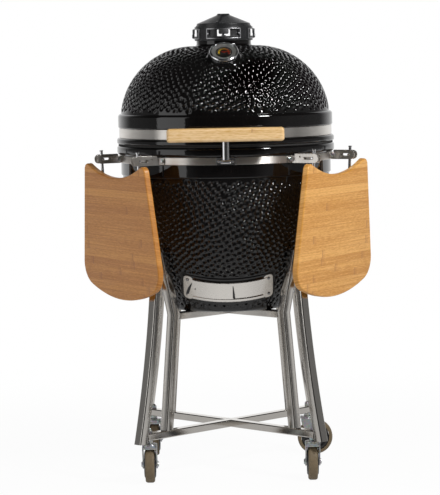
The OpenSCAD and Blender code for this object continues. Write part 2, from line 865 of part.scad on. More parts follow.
module shelf_arm_bolts() {
    bolt_d = 11;
    bolt_h = 5;
    color([0.7, 0.7, 0.7]) for (s = [-1, 1], e = [-1, 1], b = [-1, 1]) shelf_side(s)
        rotate(e * flange_turn + b * arc_turn(flange_w / 2 - 7, band_r))
            translate([pad_r + pad_t + seat_play, 0, base_band_z + base_band_h / 2]) rotate([0, 90, 0]) {
                cylinder(h = bolt_h, d = bolt_d, $fn = 6);
                cylinder(h = 1.5, d = bolt_d + 2);
            }
}

// Places the hanging shelf: x is out from the pins, y is along them and z is up
module hang(s) {
    shelf_side(s) translate([pin_u, 0, pin_z]) rotate([0, hang_lean, 0]) children();
}

module board_outline() {
    difference() {
        union() {
            for (m = [0, 1]) mirror([m, 0]) {
                translate(horn_c) circle(horn_r);
                translate(corner_c) circle(board_corner_r);
                polygon([
                    [0, horn_touch[1]], horn_touch, horn_c, horn_c + side_out * horn_r,
                    corner_c + side_out * board_corner_r, corner_c, corner_low, [0, corner_low[1]]
                ]);
            }
            intersection() {
                translate(lower_c) circle(lower_arc_r, $fn = fine);
                translate([-corner_low[0], corner_low[1] - fuse]) square([2 * corner_low[0], board_drop]);
            }
        }
        translate(hollow_c) circle(hollow_r, $fn = fine);
    }
}

module shelf_board(s) {
    color([0.72, 0.56, 0.36]) hang(s) translate([rod_d / 2 + seat_play, 0, 0])
        rotate([90, 0, 90]) linear_extrude(board_t) mirror([0, 1]) board_outline();
}

module shelf_rods(s) {
    knob_d = 10.5;
    knob_h = 3;
    clip_h = 12;
    clip_w = 34;
    strap_t = 1.5;
    plate_t = 2.5;
    color([0.7, 0.68, 0.66]) hang(s) for (e = [-1, 1]) translate([0, e * rod_v, 0]) {
        translate([0, 0, -rod_l]) cylinder(h = rod_l + rod_tail, d = rod_d);
        translate([0, 0, rod_tail - knob_h]) cylinder(h = knob_h, d = knob_d);
        rotate([90, 0, 0]) cylinder(h = arm_gap + 2 * cheek_t + 4, d = cross_pin_d, center = true);
        for (z = [-rod_l + 24, -rod_l / 2 + 30])
            translate([0, 0, z]) {
                translate([-strap_t - seat_play, 0, 0]) cylinder(h = clip_h, d = rod_d + 2 * strap_t);
                translate([rod_d / 2 + seat_play - plate_t, -clip_w / 2, 0])
                    cube([plate_t, clip_w, clip_h]);
            }
    }
}

// Latch

module latch_plate() {
    ear_t = 3;
    ear_x = lever_w / 2 + slide_play + ear_t / 2;
    plate_h = base_band_h - 1;
    color([0.75, 0.73, 0.7]) {
        translate([0, 0, base_band_z + base_band_h / 2])
            front_arc(pad_r, pad_r + pad_t, plate_h, arc_turn(latch_plate_w, band_r));
        for (s = [-1, 1])
            translate([s * ear_x, 0, 0]) rotate([0, 0, -90]) upright(ear_t) difference() {
                capsule([latch_y, latch_z], [pad_r + pad_t + 4, latch_z], 6);
                translate([0, latch_z - 10]) square([pad_r + 1.5, 20]);
            }
        translate([0, -latch_y, latch_z]) rotate([0, 90, 0])
            cylinder(h = lever_w + 2 * slide_play + 2 * ear_t + 2, d = latch_pin_d, center = true);
    }
}

// Half-round lever, flat towards the lid, with an eye round the pin
module latch_lever() {
    eye_r = 5.5;
    bow_r = 11;
    tip_r = 13;
    color([0.8, 0.8, 0.8]) translate([0, -latch_y, latch_z]) difference() {
        union() {
            rotate([0, 90, 0]) cylinder(h = lever_w, r = eye_r, center = true);
            intersection() {
                translate([0, 0, eye_r / 2]) linear_extrude(lever_l) intersection() {
                    translate([0, bow_r - lever_t / 2]) circle(bow_r);
                    translate([0.3 - lever_w / 2, -lever_t]) square([lever_w - 0.6, 1.5 * lever_t]);
                }
                rotate([90, 0, 0]) linear_extrude(3 * lever_t, center = true) {
                    translate([0, lever_l - tip_r]) circle(tip_r);
                    translate([-lever_w, -1]) square([2 * lever_w, lever_l - tip_r]);
                }
            }
        }
        rotate([0, 90, 0]) cylinder(h = lever_w + 2, d = latch_pin_d + 2 * pin_play, center = true);
    }
}

// Hinge

module hinge_pin() {
    head_d = hinge_pin_d + 6;
    half = hinge_arm_span / 2 + 2 * hinge_arm_t + 2 * knuckle_gap;
    color([0.7, 0.7, 0.7]) translate([0, hinge_y, hinge_z]) rotate([0, 90, 0]) {
        cylinder(h = 2 * half, d = hinge_pin_d, center = true);
        for (s = [-1, 1]) translate([0, 0, s * (half + 2)]) cylinder(h = 4, d = head_d, center = true);
    }
}

module hinge_arm(x, foot_z, play) {
    foot_y = sqrt(pow(band_r, 2) - x * x);
    translate([x, 0, 0]) rotate([0, 0, 90]) upright(hinge_arm_t) difference() {
        capsule([foot_y, foot_z], [hinge_y, hinge_z], hinge_arm_w / 2);
        translate([hinge_y, hinge_z]) circle(hinge_pin_d / 2 + play);
    }
}

module rear_arc(r0, r1, h, a) {
    rotate(180) front_arc(r0, r1, h, a);
}

hinge_pad_turn = 44;
hinge_cut = lid_collar_h + hinge_arm_w;

module hinge_base_bracket() {
    z = base_band_z + base_band_h / 2;
    color([0.73, 0.71, 0.68]) {
        translate([0, 0, z]) rear_arc(pad_r, pad_r + pad_t, base_band_h - 1, hinge_pad_turn);
        difference() {
            for (s = [-1, 1])
                hinge_arm(s * (hinge_arm_span / 2 + 1.5 * hinge_arm_t + knuckle_gap), z, pin_play);
            translate([0, 0, z - hinge_cut]) cylinder(h = 2 * hinge_cut, r = pad_r + 1, $fn = fine);
            rotate_extrude() ring_section(0, rim_r + 1.5, base_band_top - 2, seam_z + hinge_cut);
        }
    }
}

module hinge_lid_bracket() {
    z = lid_band_z + lid_band_h / 2;
    color([0.73, 0.71, 0.68]) {
        translate([0, 0, z]) rear_arc(pad_r, pad_r + pad_t, lid_band_h - 1, hinge_pad_turn);
        difference() {
            for (s = [-1, 1])
                hinge_arm(s * (hinge_arm_span / 2 + hinge_arm_t / 2), z, pin_play);
            translate([0, 0, z - hinge_cut]) cylinder(h = 2 * hinge_cut, r = pad_r + 1, $fn = fine);
            rotate_extrude() ring_section(0, rim_r + 1.5, seam_z - hinge_cut, lid_band_z + 2);
            rotate_extrude() ring_section(0, rim_r + 1.5, lid_collar_z - 2, lid_collar_top + hinge_cut);
        }
    }
}

// Close-wound coils round the pin, each with a leg that bears on the bowl's bracket
module hinge_springs() {
    coil_l = spring_turns * spring_pitch;
    color([0.6, 0.6, 0.6]) for (s = [-1, 1])
        translate([s * (hinge_arm_span / 4), hinge_y, hinge_z]) rotate([0, 90, 0]) rotate_extrude()
            for (k = [0 : spring_turns])
                translate([spring_r, k * spring_pitch - coil_l / 2]) circle(d = spring_wire, $fn = 24);
}

// Lid

module dome_section(r, edge_r) {
    translate([0, lid_bottom - fuse]) square([edge_r - r, shoulder_z + r - lid_bottom + fuse]);
    intersection() {
        translate([edge_r - r, shoulder_z]) circle(r, $fn = fine);
        translate([0, shoulder_z]) square([edge_r, r]);
    }
    translate([0, lid_bottom - fuse]) square([edge_r, shoulder_z - lid_bottom + fuse]);
}

module boss_place() {
    translate([0, -dial_out, boss_z]) rotate([90 - dial_tilt, 0, 0]) children();
}

module lid_shell() {
    stem_play = 1;
    color([0.05, 0.05, 0.06]) difference() {
        union() {
            rotate_extrude() intersection() {
                dome_section(shoulder_r, dome_r);
                translate([0, lid_band_z]) square([rim_r, crown_h]);
            }
            rotate_extrude() disc_section(rim_r, lid_bottom, lid_band_z, 4, 7);
            rotate_extrude() disc_section(collar_r, lid_band_z - fuse, lid_collar_z + fuse, 0.5, 0.5);
            rotate_extrude() disc_section(rim_r - lid_collar_inset, lid_collar_z, lid_collar_top, 3, 9);
            rotate_extrude() disc_section(neck_r, crown_z - fuse, neck_top, 0.5, 3);
            boss_place() translate([0, 0, -lid_wall]) cylinder(h = lid_wall + boss_lift, r = boss_r);
        }
        rotate_extrude() dome_section(shoulder_r - lid_wall, dome_r - lid_wall);
        cylinder(h = neck_top + fuse, r = flue_r);
        boss_place() cylinder(h = 4 * lid_wall, d = probe_d + 2 * stem_play, center = true);
    }
}

module lid_gasket() {
    color([0.12, 0.12, 0.12]) rotate_extrude()
        ring_section(felt_r - felt_w, felt_r, seam_z + seam_play, lid_bottom);
}

module lid_band() {
    color([0.72, 0.7, 0.67]) rotate_extrude()
        translate([band_r - band_t / 2, lid_band_z + lid_band_h / 2])
            rounded_rect(band_t, lid_band_h - 2 * seat_play, band_t / 3);
}

// Handle

module handle_bar() {
    color([0.78, 0.64, 0.45]) translate([0, -handle_back - handle_d / 2, handle_z]) intersection() {
        rotate([90, 0, 90]) linear_extrude(handle_l, center = true) rounded_rect(handle_d, handle_h, 7);
        linear_extrude(handle_h, center = true) rounded_rect(handle_l, handle_d, 9);
        rotate([90, 0, 0]) linear_extrude(handle_d, center = true) rounded_rect(handle_l, handle_h, 9);
    }
}

module handle_posts() {
    foot_w = 40;
    washer_t = 3;
    color([0.75, 0.73, 0.7]) for (s = [-1, 1]) {
        translate([0, 0, lid_band_z + lid_band_h / 2]) rotate(s * asin(post_span / 2 / band_r))
            front_arc(pad_r, pad_r + pad_t, lid_band_h - 1, arc_turn(foot_w, band_r));
        difference() {
            translate([s * post_span / 2, -handle_back + seat_play, handle_z]) rotate([-90, 0, 0])
                cylinder(h = handle_back - post_y + 20, d = post_d);
            translate([0, 0, lid_bottom]) cylinder(h = hinge_cut + lid_band_h, r = pad_r + 1, $fn = fine);
        }
        translate([s * post_span / 2, -handle_back + seat_play, handle_z]) rotate([-90, 0, 0])
            cylinder(h = washer_t, d = post_d + 8);
    }
}

// Thermometer

module thermometer_case() {
    back_t = 2;
    wall = 2.5;
    nut_d = 16;
    nut_h = 6;
    nut_drop = nut_d / 2 * tan(90 - dial_tilt - asin(boss_sin)) + 1;
    color([0.8, 0.8, 0.8]) boss_place() translate([0, 0, boss_lift + seat_play]) {
        rotate_extrude() difference() {
            disc_section(bezel_d / 2, 0, case_h, 3, 5);
            translate([0, back_t]) square([bezel_d / 2 - wall - 2, case_h]);
            translate([0, dial_seat - seat_play]) square([glass_r + seat_play, case_h]);
        }
        cylinder(h = dial_seat - dial_t - seat_play, d = probe_d + 4);
        translate([0, 0, -probe_l]) cylinder(h = probe_l + 1, d = probe_d);
        translate([0, 0, -lid_wall - boss_lift - nut_h - nut_drop]) cylinder(h = nut_h, d = nut_d, $fn = 6);
    }
}

module dial_place() {
    boss_place() translate([0, 0, boss_lift + seat_play + dial_seat - dial_t]) children();
}

spindle_d = 2.4;

module thermometer_dial() {
    color([0.06, 0.06, 0.06]) dial_place() {
        cylinder(h = dial_t, r = bezel_d / 2 - 5);
        cylinder(h = dial_t + needle_lift + 1.6, d = spindle_d);
    }
}

module thermometer_needle() {
    needle_t = 0.8;
    color([0.85, 0.25, 0.1]) dial_place() translate([0, 0, dial_t + needle_lift - needle_t]) difference() {
        union() {
            cylinder(h = needle_t, d = 7);
            linear_extrude(needle_t) polygon([[-7, -1.4], [-7, 1.4], [17, 0.5], [17, -0.5]]);
        }
        translate([0, 0, -1]) cylinder(h = 3, d = spindle_d + 2 * pin_play);
    }
}

// Domed glass: a cap cut from a hollow ball
module thermometer_glass() {
    glass_t = 1.8;
    glass_low = dial_seat + needle_lift + 2.2;
    rise = 4;
    ball_r = (glass_r * glass_r + rise * rise) / (2 * rise);
    color([0.8, 0.85, 0.9, 0.35]) boss_place()
        translate([0, 0, boss_lift + seat_play + glass_low]) rotate_extrude() intersection() {
            difference() {
                translate([0, rise - ball_r]) circle(ball_r, $fn = fine);
                translate([0, rise - ball_r]) circle(ball_r - glass_t, $fn = fine);
            }
            square([glass_r, 2 * rise]);
        }
}

// Vent

slot_turn = arc_turn(slot_w, vent_r);
window_up = 3;
window_h = slot_h - frame_border;

module vent_ring() {
    seat_z = neck_top + seat_play;
    seat_t = 3;
    color([0.13, 0.13, 0.14]) difference() {
        rotate_extrude() {
            ring_section(vent_r - vent_wall, vent_r, vent_z, vent_top);
            ring_section(flue_r, vent_r - 1, seat_z, seat_z + seat_t);
        }
        for (a = [0 : 90 : 270])
            rotate(a) translate([0, 0, slot_z + window_up])
                front_arc(vent_r - vent_wall - 1, vent_r + 1, window_h, slot_turn - 4);
    }
}

// Bright frame round each slot, with a tooth at each end and a grip in the middle
module vent_frames() {
    tooth = 7;
    grip_w = 26;
    grip_h = 13;
    knob_d = 12;
    r0 = vent_r + seat_play;
    r1 = r0 + frame_t;
    end_turn = arc_turn(frame_border, vent_r);
    color([0.82, 0.82, 0.82]) for (a = [0 : 90 : 270]) rotate(a) translate([0, 0, slot_z]) {
        for (s = [-1, 1]) {
            translate([0, 0, s * (slot_h + frame_border) / 2])
                front_arc(r0, r1, frame_border, slot_turn + end_turn);
            rotate(s * (slot_turn + end_turn) / 2) {
                front_arc(r0 + 0.1, r1 + 0.2, slot_h + 2 * frame_border - 0.4, end_turn);
                translate([0, -r0 - 0.2, 0]) rotate([90, 0, 0]) linear_extrude(frame_t - 1)
                    polygon([[s, -tooth / 2], [s, tooth / 2], [-s * tooth, 0]]);
            }
        }
        translate([0, 0, slot_h / 2 - grip_h / 2 + 1])
            front_arc(r0 + 0.1, r1 + 2, grip_h, arc_turn(grip_w, vent_r));
        translate([0, -r0 - 0.2, -slot_h / 2 + knob_d / 2 - 1]) rotate([90, 0, 0])
            cylinder(h = frame_t + 3, d = knob_d);
    }
}

// Turning roof with a skirt inside the ring; the skirt's windows open the slots when it turns
module vent_roof() {
    roof_t = 3;
    window_turn = 26;
    sleeve_low = neck_top + seat_play + 3 + slide_play;
    cone_z = roof_z + roof_rim_h;
    fin_t = 5;
    fin_up = 5;
    color([0.12, 0.12, 0.13]) difference() {
        union() {
            rotate_extrude() {
                difference() {
                    union() {
                        disc_section(roof_r, roof_z, cone_z, 1, 2.5);
                        polygon([
                            [0, cone_z - fuse], [roof_r - 2, cone_z - fuse], [roof_r - 2, cone_z],
                            [roof_hub_r, roof_top], [0, roof_top]
                        ]);
                    }
                    polygon([
                        [0, roof_z - 1], [roof_r - roof_t, roof_z - 1], [roof_r - roof_t, cone_z - roof_t],
                        [roof_hub_r, roof_top - 2 * roof_t], [0, roof_top - 2 * roof_t]
                    ]);
                }
                disc_section(roof_hub_r, roof_top - fuse, roof_top + 3, 0.5, 2);
                ring_section(sleeve_r - sleeve_t, sleeve_r, sleeve_low, roof_z + 3);
                ring_section(roof_r - roof_t - 1, sleeve_r, roof_z, roof_z + 3);
            }
            rotate(fin_turn - 90) upright(fin_t) polygon([
                [roof_hub_r - 6, roof_top - 2], [roof_hub_r - 2, roof_top + 3],
                [roof_hub_r + 8, roof_top + 2],
                [roof_r + 2, cone_z + fin_up - 1], [roof_r + 2, roof_z + 1], [roof_r - 6, roof_z + 1],
                [roof_r - 6, cone_z - 1]
            ]);
        }
        for (a = [45 : 90 : 315])
            rotate(a) translate([0, 0, slot_z + window_up])
                front_arc(sleeve_r - sleeve_t - 1, sleeve_r + 1, window_h, window_turn);
    }
}

base_shell();
base_gasket();
base_band();
fire_box();
fire_ring();
charcoal_grate();
cooking_grate();
draft_frame();
draft_door_left();
draft_door_right();
outer_leg(0);  // outer_leg_front_left
outer_leg(1);  // outer_leg_front_right
outer_leg(2);  // outer_leg_rear_left
outer_leg(3);  // outer_leg_rear_right
inner_leg(0);  // inner_leg_front_left
inner_leg(1);  // inner_leg_front_right
inner_leg(2);  // inner_leg_rear_left
inner_leg(3);  // inner_leg_rear_right
lower_cross();
upper_cross();
caster_stems();
caster_fork(0);  // caster_fork_front_left
caster_fork(1);  // caster_fork_front_right
caster_fork(2);  // caster_fork_rear_left
caster_fork(3);  // caster_fork_rear_right
wheel_core(0);  // wheel_core_front_left
wheel_core(1);  // wheel_core_front_right
wheel_core(2);  // wheel_core_rear_left
wheel_core(3);  // wheel_core_rear_right
wheel_tread(0);  // wheel_tread_front_left
wheel_tread(1);  // wheel_tread_front_right
wheel_tread(2);  // wheel_tread_rear_left
wheel_tread(3);  // wheel_tread_rear_right
shelf_arm(-1, -1);  // shelf_arm_left_front
shelf_arm(-1, 1);  // shelf_arm_left_rear
shelf_arm(1, -1);  // shelf_arm_right_front
shelf_arm(1, 1);  // shelf_arm_right_rear
shelf_arm_bolts();
shelf_board(-1);  // shelf_board_left
shelf_rods(-1);  // shelf_rods_left
shelf_board(1);  // shelf_board_right
shelf_rods(1);  // shelf_rods_right
latch_plate();
latch_lever();
hinge_base_bracket();
hinge_lid_bracket();
hinge_pin();
hinge_springs();
lid_shell();
lid_gasket();
lid_band();
handle_bar();
handle_posts();
thermometer_case();
thermometer_dial();
thermometer_needle();
thermometer_glass();
vent_ring();
vent_frames();
vent_roof();
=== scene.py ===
"""Finished pieces of a kamado ceramic grill on a wheeled tube stand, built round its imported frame."""
import math
import random

import bmesh
import bpy
from bpy.props import FloatProperty, FloatVectorProperty, PointerProperty
from bpy.types import Operator, Panel, PropertyGroup
from mathutils import Matrix, Vector, kdtree


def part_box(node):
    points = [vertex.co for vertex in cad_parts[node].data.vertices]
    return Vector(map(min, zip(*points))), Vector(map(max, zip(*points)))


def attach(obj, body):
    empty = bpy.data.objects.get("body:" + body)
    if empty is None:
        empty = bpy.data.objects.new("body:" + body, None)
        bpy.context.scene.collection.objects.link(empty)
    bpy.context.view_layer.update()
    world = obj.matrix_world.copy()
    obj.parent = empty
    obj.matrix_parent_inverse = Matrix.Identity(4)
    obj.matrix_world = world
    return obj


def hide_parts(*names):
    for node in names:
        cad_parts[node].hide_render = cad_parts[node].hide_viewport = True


bl_info = {
    "name": "Kamado Grill",
    "version": (1, 0, 0),
    "blender": (4, 5, 0),
    "location": "View3D > Sidebar > Grill",
    "description": "Builds the finished pieces of a ceramic grill round its frame",
    "category": "Object",
}

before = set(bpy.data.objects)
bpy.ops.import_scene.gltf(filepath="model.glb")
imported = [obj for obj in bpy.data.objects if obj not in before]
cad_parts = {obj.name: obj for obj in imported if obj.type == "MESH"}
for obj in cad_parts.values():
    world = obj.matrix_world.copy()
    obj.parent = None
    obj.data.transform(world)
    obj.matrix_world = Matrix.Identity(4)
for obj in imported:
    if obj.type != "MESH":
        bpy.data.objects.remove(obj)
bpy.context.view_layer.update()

TAU = math.tau
VERTICAL = Vector((0, 0, 1))
# Gap between pieces that touch, the way over which dimples fade out, and the steps round a rim
FIT = 0.0002
FADE = (0.002, 0.009)
RIM_STEPS = 288
CORNER_TURN = {"front_left": 225, "front_right": 315, "rear_left": 135, "rear_right": 45}


def low(node):
    return Vector(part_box(node)[0])


def high(node):
    return Vector(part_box(node)[1])


def middle(node):
    return (low(node) + high(node)) / 2


def third_side(longest, other):
    """Of a right triangle."""
    return math.sqrt(longest ** 2 - other ** 2)


# Bands, and the pads that are bolted on them
BAND_R = high("base_band").x
BAND_T = 0.003
BASE_BAND = (low("base_band").z, high("base_band").z)
LID_BAND = (low("lid_band").z, high("lid_band").z)
BASE_BAND_Z = middle("base_band").z
LID_BAND_Z = middle("lid_band").z
PAD_R = BAND_R + FIT
PAD_T = 0.003

# Bowl: its side is an arc that leaves the collar at a lean
BOWL_LOW = low("base_shell").z
BOWL_TOP = high("base_shell").z
BOWL_FLOOR = BOWL_LOW + 0.030
BOWL_ARC = 1.0
BOWL_MEAN_R = 0.245
BOWL_WALL = 0.028
BOWL_LEAN = math.radians(7)
FOOT_ROUND = 0.018
RIM_R = high("base_shell").x
COLLAR_R = RIM_R - 0.010
COLLAR_Z = BASE_BAND[0] - 0.0372
SIDE_R = COLLAR_R - 0.004
BOWL_CX = SIDE_R - BOWL_ARC * math.cos(BOWL_LEAN)
BOWL_CZ = COLLAR_Z + BOWL_ARC * math.sin(BOWL_LEAN)
MOUTH_R = 0.262


def bowl_radius(z, r=BOWL_ARC):
    return BOWL_CX + third_side(r, BOWL_CZ - z)


FOOT_Z = BOWL_LOW + FOOT_ROUND
FOOT_R = bowl_radius(FOOT_Z, BOWL_ARC - FOOT_ROUND)

# Lid: its dome is flat on top and an arc at the shoulder
LID_LOW = low("lid_shell").z
LID_COLLAR_R = RIM_R - 0.004
LID_COLLAR_TOP = LID_BAND[1] + 0.0392
NECK_R = 0.075
NECK_TOP = high("lid_shell").z
CROWN_Z = NECK_TOP - 0.020
SHOULDER_R = 0.202
CROWN_R = RIM_R - 0.011 - SHOULDER_R
SHOULDER_Z = CROWN_Z - SHOULDER_R
LID_MEAN_R = 0.275
LID_SEAM_R = 0.284
LID_WALL = 0.026
FLUE_R = 0.052

# Draft door: a curved frame that leans with the bowl
DRAFT_R = 0.220
DRAFT_TILT = math.radians(26)
DRAFT_Z = BOWL_LOW + 0.059
DRAFT_FRONT = bowl_radius(DRAFT_Z) + 0.003
DRAFT_PLACE = Matrix.Translation((0, -DRAFT_FRONT, DRAFT_Z)) @ Matrix.Rotation(DRAFT_TILT, 4, "X")
TO_DRAFT = DRAFT_PLACE.inverted()
DRAFT_DEPTH = 0.10
DRAFT_OPEN = (0.176, 0.040)
FRAME_W = 0.241
FRAME_H = 0.070
EAR_R = 0.011
EAR_Z = 0.024
SEAT_W = FRAME_W + 0.006
SEAT_H = FRAME_H + 0.006
SEAT_T = 0.022
SHEET_T = 0.0012
SLIDE_GAP = 0.0004
FRAME_BACK_R = DRAFT_R + FIT
CHANNEL_R = FRAME_BACK_R + SHEET_T
REAR_DOOR_R = CHANNEL_R + SLIDE_GAP
FRONT_DOOR_R = REAR_DOOR_R + SHEET_T + SLIDE_GAP
LIP_R = FRONT_DOOR_R + SHEET_T + SLIDE_GAP
RAIL_L = FRAME_W - 0.048
RAIL_HALF = 0.029
RAIL_T = 0.0048
LIP_W = 0.007
DOOR_H = 0.0548
FRONT_DOOR = (-0.104, 0.013)
FRONT_DOOR_SLANT = 0.008
REAR_DOOR = (-0.004, 0.106)
PULL_LEAN = math.radians(40)
PULL_ROOT = -0.0004

# Thermometer, on a boss on the shoulder of the dome
DIAL_OUT = 0.190
BOSS_Z = SHOULDER_Z + third_side(SHOULDER_R, DIAL_OUT - CROWN_R)
BOSS_PLACE = Matrix.Translation((0, -DIAL_OUT, BOSS_Z)) @ Matrix.Rotation(math.radians(40), 4, "X")
TO_BOSS = BOSS_PLACE.inverted()
BOSS_R = 0.042
BOSS_LIFT = 0.005
BOSS_DEPTH = 0.06
CASE_Z = BOSS_LIFT + FIT
CASE_H = 0.015
CASE_R = 0.0345
CASE_FLOOR = 0.0020
BEZEL_R = 0.039
GLASS_R = 0.035
GLASS_Z = CASE_Z + 0.0090
GLASS_EDGE = CASE_Z + 0.0128
GLASS_RISE = 0.004
GLASS_T = 0.0018
DIAL_SWEEP = (1 / 6, 5 / 6)
DIAL_ARC = (0.0118, 0.0152)
DIAL_MARKS = (0.0170, 0.0198)
DIAL_RIM = 0.0222
PROBE_R = 0.003
PROBE_L = 0.065

# Vent
VENT_R = high("vent_ring").x
VENT_Z = (low("vent_ring").z, high("vent_ring").z)
SLOT_Z = middle("vent_ring").z
SLOT_W = 0.092
SLOT_H = 0.023
SLOT_BORDER = 0.003
WINDOW_HALF = math.radians(31)
SLEEVE_HALF = math.radians(13)
WINDOW_Z = (SLOT_Z + 0.0045 - SLOT_H / 2, SLOT_Z + 0.0015 + SLOT_H / 2)
TRIM_R = VENT_R + FIT
GRIP_R = VENT_R + 0.0003
GRIP_SIZE = (0.026, 0.013)
GRIP_T = 0.006
KNOB_R = 0.006
KNOB_H = 0.007
SLEEVE_R = VENT_R - 0.0034
ROOF_R = 0.0735
ROOF_Z = VENT_Z[1] + 0.0004
ROOF_T = 0.003
CONE_Z = ROOF_Z + 0.008
ROOF_TOP = CONE_Z + 0.024
HUB_R = 0.016
FIN_TURN = math.radians(-14)
FIN_T = 0.005

# Stand and casters
TUBE_W = 0.026
TUBE_ROUND = 0.003
TUBE_CROWN = 0.0005
BAR_W = 0.026
BAR_H = 0.020
BAR_Z = low("lower_cross").z
UPPER_BAR_Z = low("upper_cross").z
LEG_TOP = high("inner_leg_front_left").z
LEG_BOW = 3.3
LEG_STEPS = 24
OUTER_FOOT = Vector((0.343, 0, low("outer_leg_front_left").z))
CRADLE_TOP = Vector((bowl_radius(LEG_TOP) + TUBE_W / 2 + 0.0015, 0, LEG_TOP))
OUTER_TOP = CRADLE_TOP + Vector((0.013, 0, 0))
INNER_FOOT = Vector((0.245, 0, BAR_Z + BAR_H))
KNEE = Vector((bowl_radius(BOWL_LOW) + 0.0475, 0, BOWL_LOW - 0.004))
LOWER_REACH = OUTER_FOOT.x - 0.018
UPPER_REACH = KNEE.x - 0.0115
CASTER_R = OUTER_FOOT.x - 0.032
CASTER_H = 0.111
HEAD_Z = CASTER_H - 0.0085
HEAD_R = 0.0205
STEM_R = 0.0060
TRAIL = 0.022
AXLE_Z = 0.050
AXLE_R = 0.005
AXLE_L = 0.042
FORK_IN = 0.017
FORK_T = 0.003
FORK_END_R = 0.012
WHEEL_R = 0.050
TREAD_IN = 0.0402
TREAD_HALF = 0.0125

# Handle, latch and hinge
HANDLE_BACK = high("handle_bar").y
HANDLE_Z = middle("handle_bar").z
HANDLE_SIZE = tuple(high("handle_bar") - low("handle_bar"))
HANDLE_ROUND = 0.008
POST_X = 0.110
POST_R = 0.009
POST_FOOT = 0.040
POST_SCREW = 0.0145
LATCH_Y = -RIM_R - 0.0084
LATCH_Z = BASE_BAND_Z - 0.001
LATCH_PLATE = (0.052, 0.019)
LATCH_PLATE_T = 0.0018
LATCH_SCREW = 0.0185
LATCH_PIN_R = 0.0025
LATCH_EAR_R = 0.006
LATCH_EAR_T = 0.003
LEVER_W = 0.019
LEVER_T = 0.008
LEVER_L = 0.068
LEVER_LOW = 0.0028
LEVER_BOW = 0.011
LEVER_EYE_R = 0.0055
LEVER_TIP = 0.19
LEVER_GAP = 0.0004
HINGE_Y = middle("hinge_pin").y
HINGE_Z = middle("hinge_pin").z
HINGE_BOLTS = (-19, -7, 7, 19)
SPRING_X = 0.0375
SPRING_R = 0.0084
SPRING_WIRE = 0.002
SPRING_PITCH = 0.0038
SPRING_TURNS = 11

# Shelves
SHELF_TURN = math.radians(60)
PIN_U = RIM_R + 0.031
PIN_Z = BASE_BAND_Z + 0.002
HANG_LEAN = math.radians(3)
PIN_R = 0.003
ROD_V = 0.106
ROD_R = 0.004
ROD_L = 0.300
ROD_TOP = 0.024
CLIP_SIZE = (0.0025, 0.034, 0.012)
CLIP_SCREW = 0.0125
ARM_H = 0.025
ARM_GAP = 0.014
ARM_END = PIN_U + 0.018 - ARM_H / 2
ARM_SLOT_L = 0.022
ARM_SLOT_R = 0.0034
ARM_FLANGE = (0.050, 0.018)
ARM_BOLT = 0.018
CHEEK_T = 0.0025
BOARD_T = 0.017
BOARD_ROUND = 0.0036
BOARD_DROP = 0.378
HORN = Vector((0.157, 0.030))
HORN_R = 0.018
HOLLOW_R = 0.358
BOARD_SPREAD = math.radians(9)
BOARD_CORNER_R = 0.059
LOWER_R = 0.504

# Heads of screws, and bolts with the width of their washers
POST_SCREW_HEAD = (0.0075, 0.0022)
LATCH_SCREW_HEAD = (0.0075, 0.0024)
DRAFT_SCREW_HEAD = (0.0085, 0.0026)
CLIP_SCREW_HEAD = (0.006, 0.0018)
PROBE_NUT = (0.016, 0.006)
HINGE_BOLT_HEAD = (0.011, 0.005, 0.014)
ARM_BOLT_HEAD = (0.011, 0.005, 0.013)
AXLE_BOLT_HEAD = (0.015, 0.0038, 0.019)

# Stage
FLOOR_HALF = 16.0
LIT_PLACE = (0, 0, 0.85)
PANEL_PLACE = (-2.1, -1.35, 1.30)
PANEL_SIZE = (1.5, 2.3)
LAMP_PLACE = (1.55, -1.65, 2.28)
LAMP_SIZE = (0.45, 0.45)
SENSOR_W = 36.0


def length_property(name, description, default):
    return FloatProperty(name=name, description=description, default=default, unit="LENGTH")


def angle_property(name, description, degrees):
    return FloatProperty(name=name, description=description, default=math.radians(degrees), subtype="ANGLE")


def power_property(name, description, default):
    return FloatProperty(name=name, description=description, default=default, unit="POWER")


def colour_property(name, description, default):
    return FloatVectorProperty(name=name, description=description, default=default, subtype="COLOR", size=3)


class GrillFinish(PropertyGroup):
    """Sizes and colours of the finishes."""
    dimple_pitch: length_property("Dimple pitch", "Distance between the dimples in the glaze", 0.0158)
    dimple_width: length_property("Dimple width", "Diameter of a dimple", 0.0138)
    dimple_depth: length_property("Dimple depth", "Depth of a dimple", 0.0032)
    bowl_mesh: length_property("Glaze mesh", "Side of a face on the dimpled shells", 0.0025)
    glaze: colour_property("Glaze", "Colour of the glaze", (0.0026, 0.0022, 0.0022))
    steel: colour_property("Steel", "Colour of the stainless steel", (0.66, 0.63, 0.59))
    bamboo_tan: colour_property("Bamboo, tan", "Colour of the left shelf", (0.55, 0.222, 0.030))
    bamboo_gold: colour_property("Bamboo, golden", "Colour of the right shelf", (0.68, 0.326, 0.060))
    bamboo_pale: colour_property("Bamboo, pale", "Colour of the handle", (0.73, 0.468, 0.180))
    strip_width: length_property("Strip width", "Width of a strip of bamboo", 0.021)
    tread: colour_property("Tread", "Colour of the wheels' treads", (0.175, 0.130, 0.075))


class GrillStage(PropertyGroup):
    """Camera and light."""
    eye_distance: length_property("Eye distance", "Distance of the camera to the grill's axis", 6.62)
    eye_height: length_property("Eye height", "Height of the camera above the floor", BOWL_LOW + 0.717)
    lens: FloatProperty(name="Lens", description="Focal length in millimetres", default=174.5)
    pitch: angle_property("Pitch", "Downward tilt of the camera", 4.79)
    yaw: angle_property("Yaw", "Turn of the camera to the left", 0.18)
    roll: angle_property("Roll", "Clockwise roll of the camera", 1.07)
    panel_power: power_property("Panel", "Power of the large panel on the left", 12.0)
    lamp_power: power_property("Lamp", "Power of the small lamp on the right", 52.0)
    ambient: FloatProperty(name="Ambient", description="Strength of the light from all round", default=0.31)


# Shader values

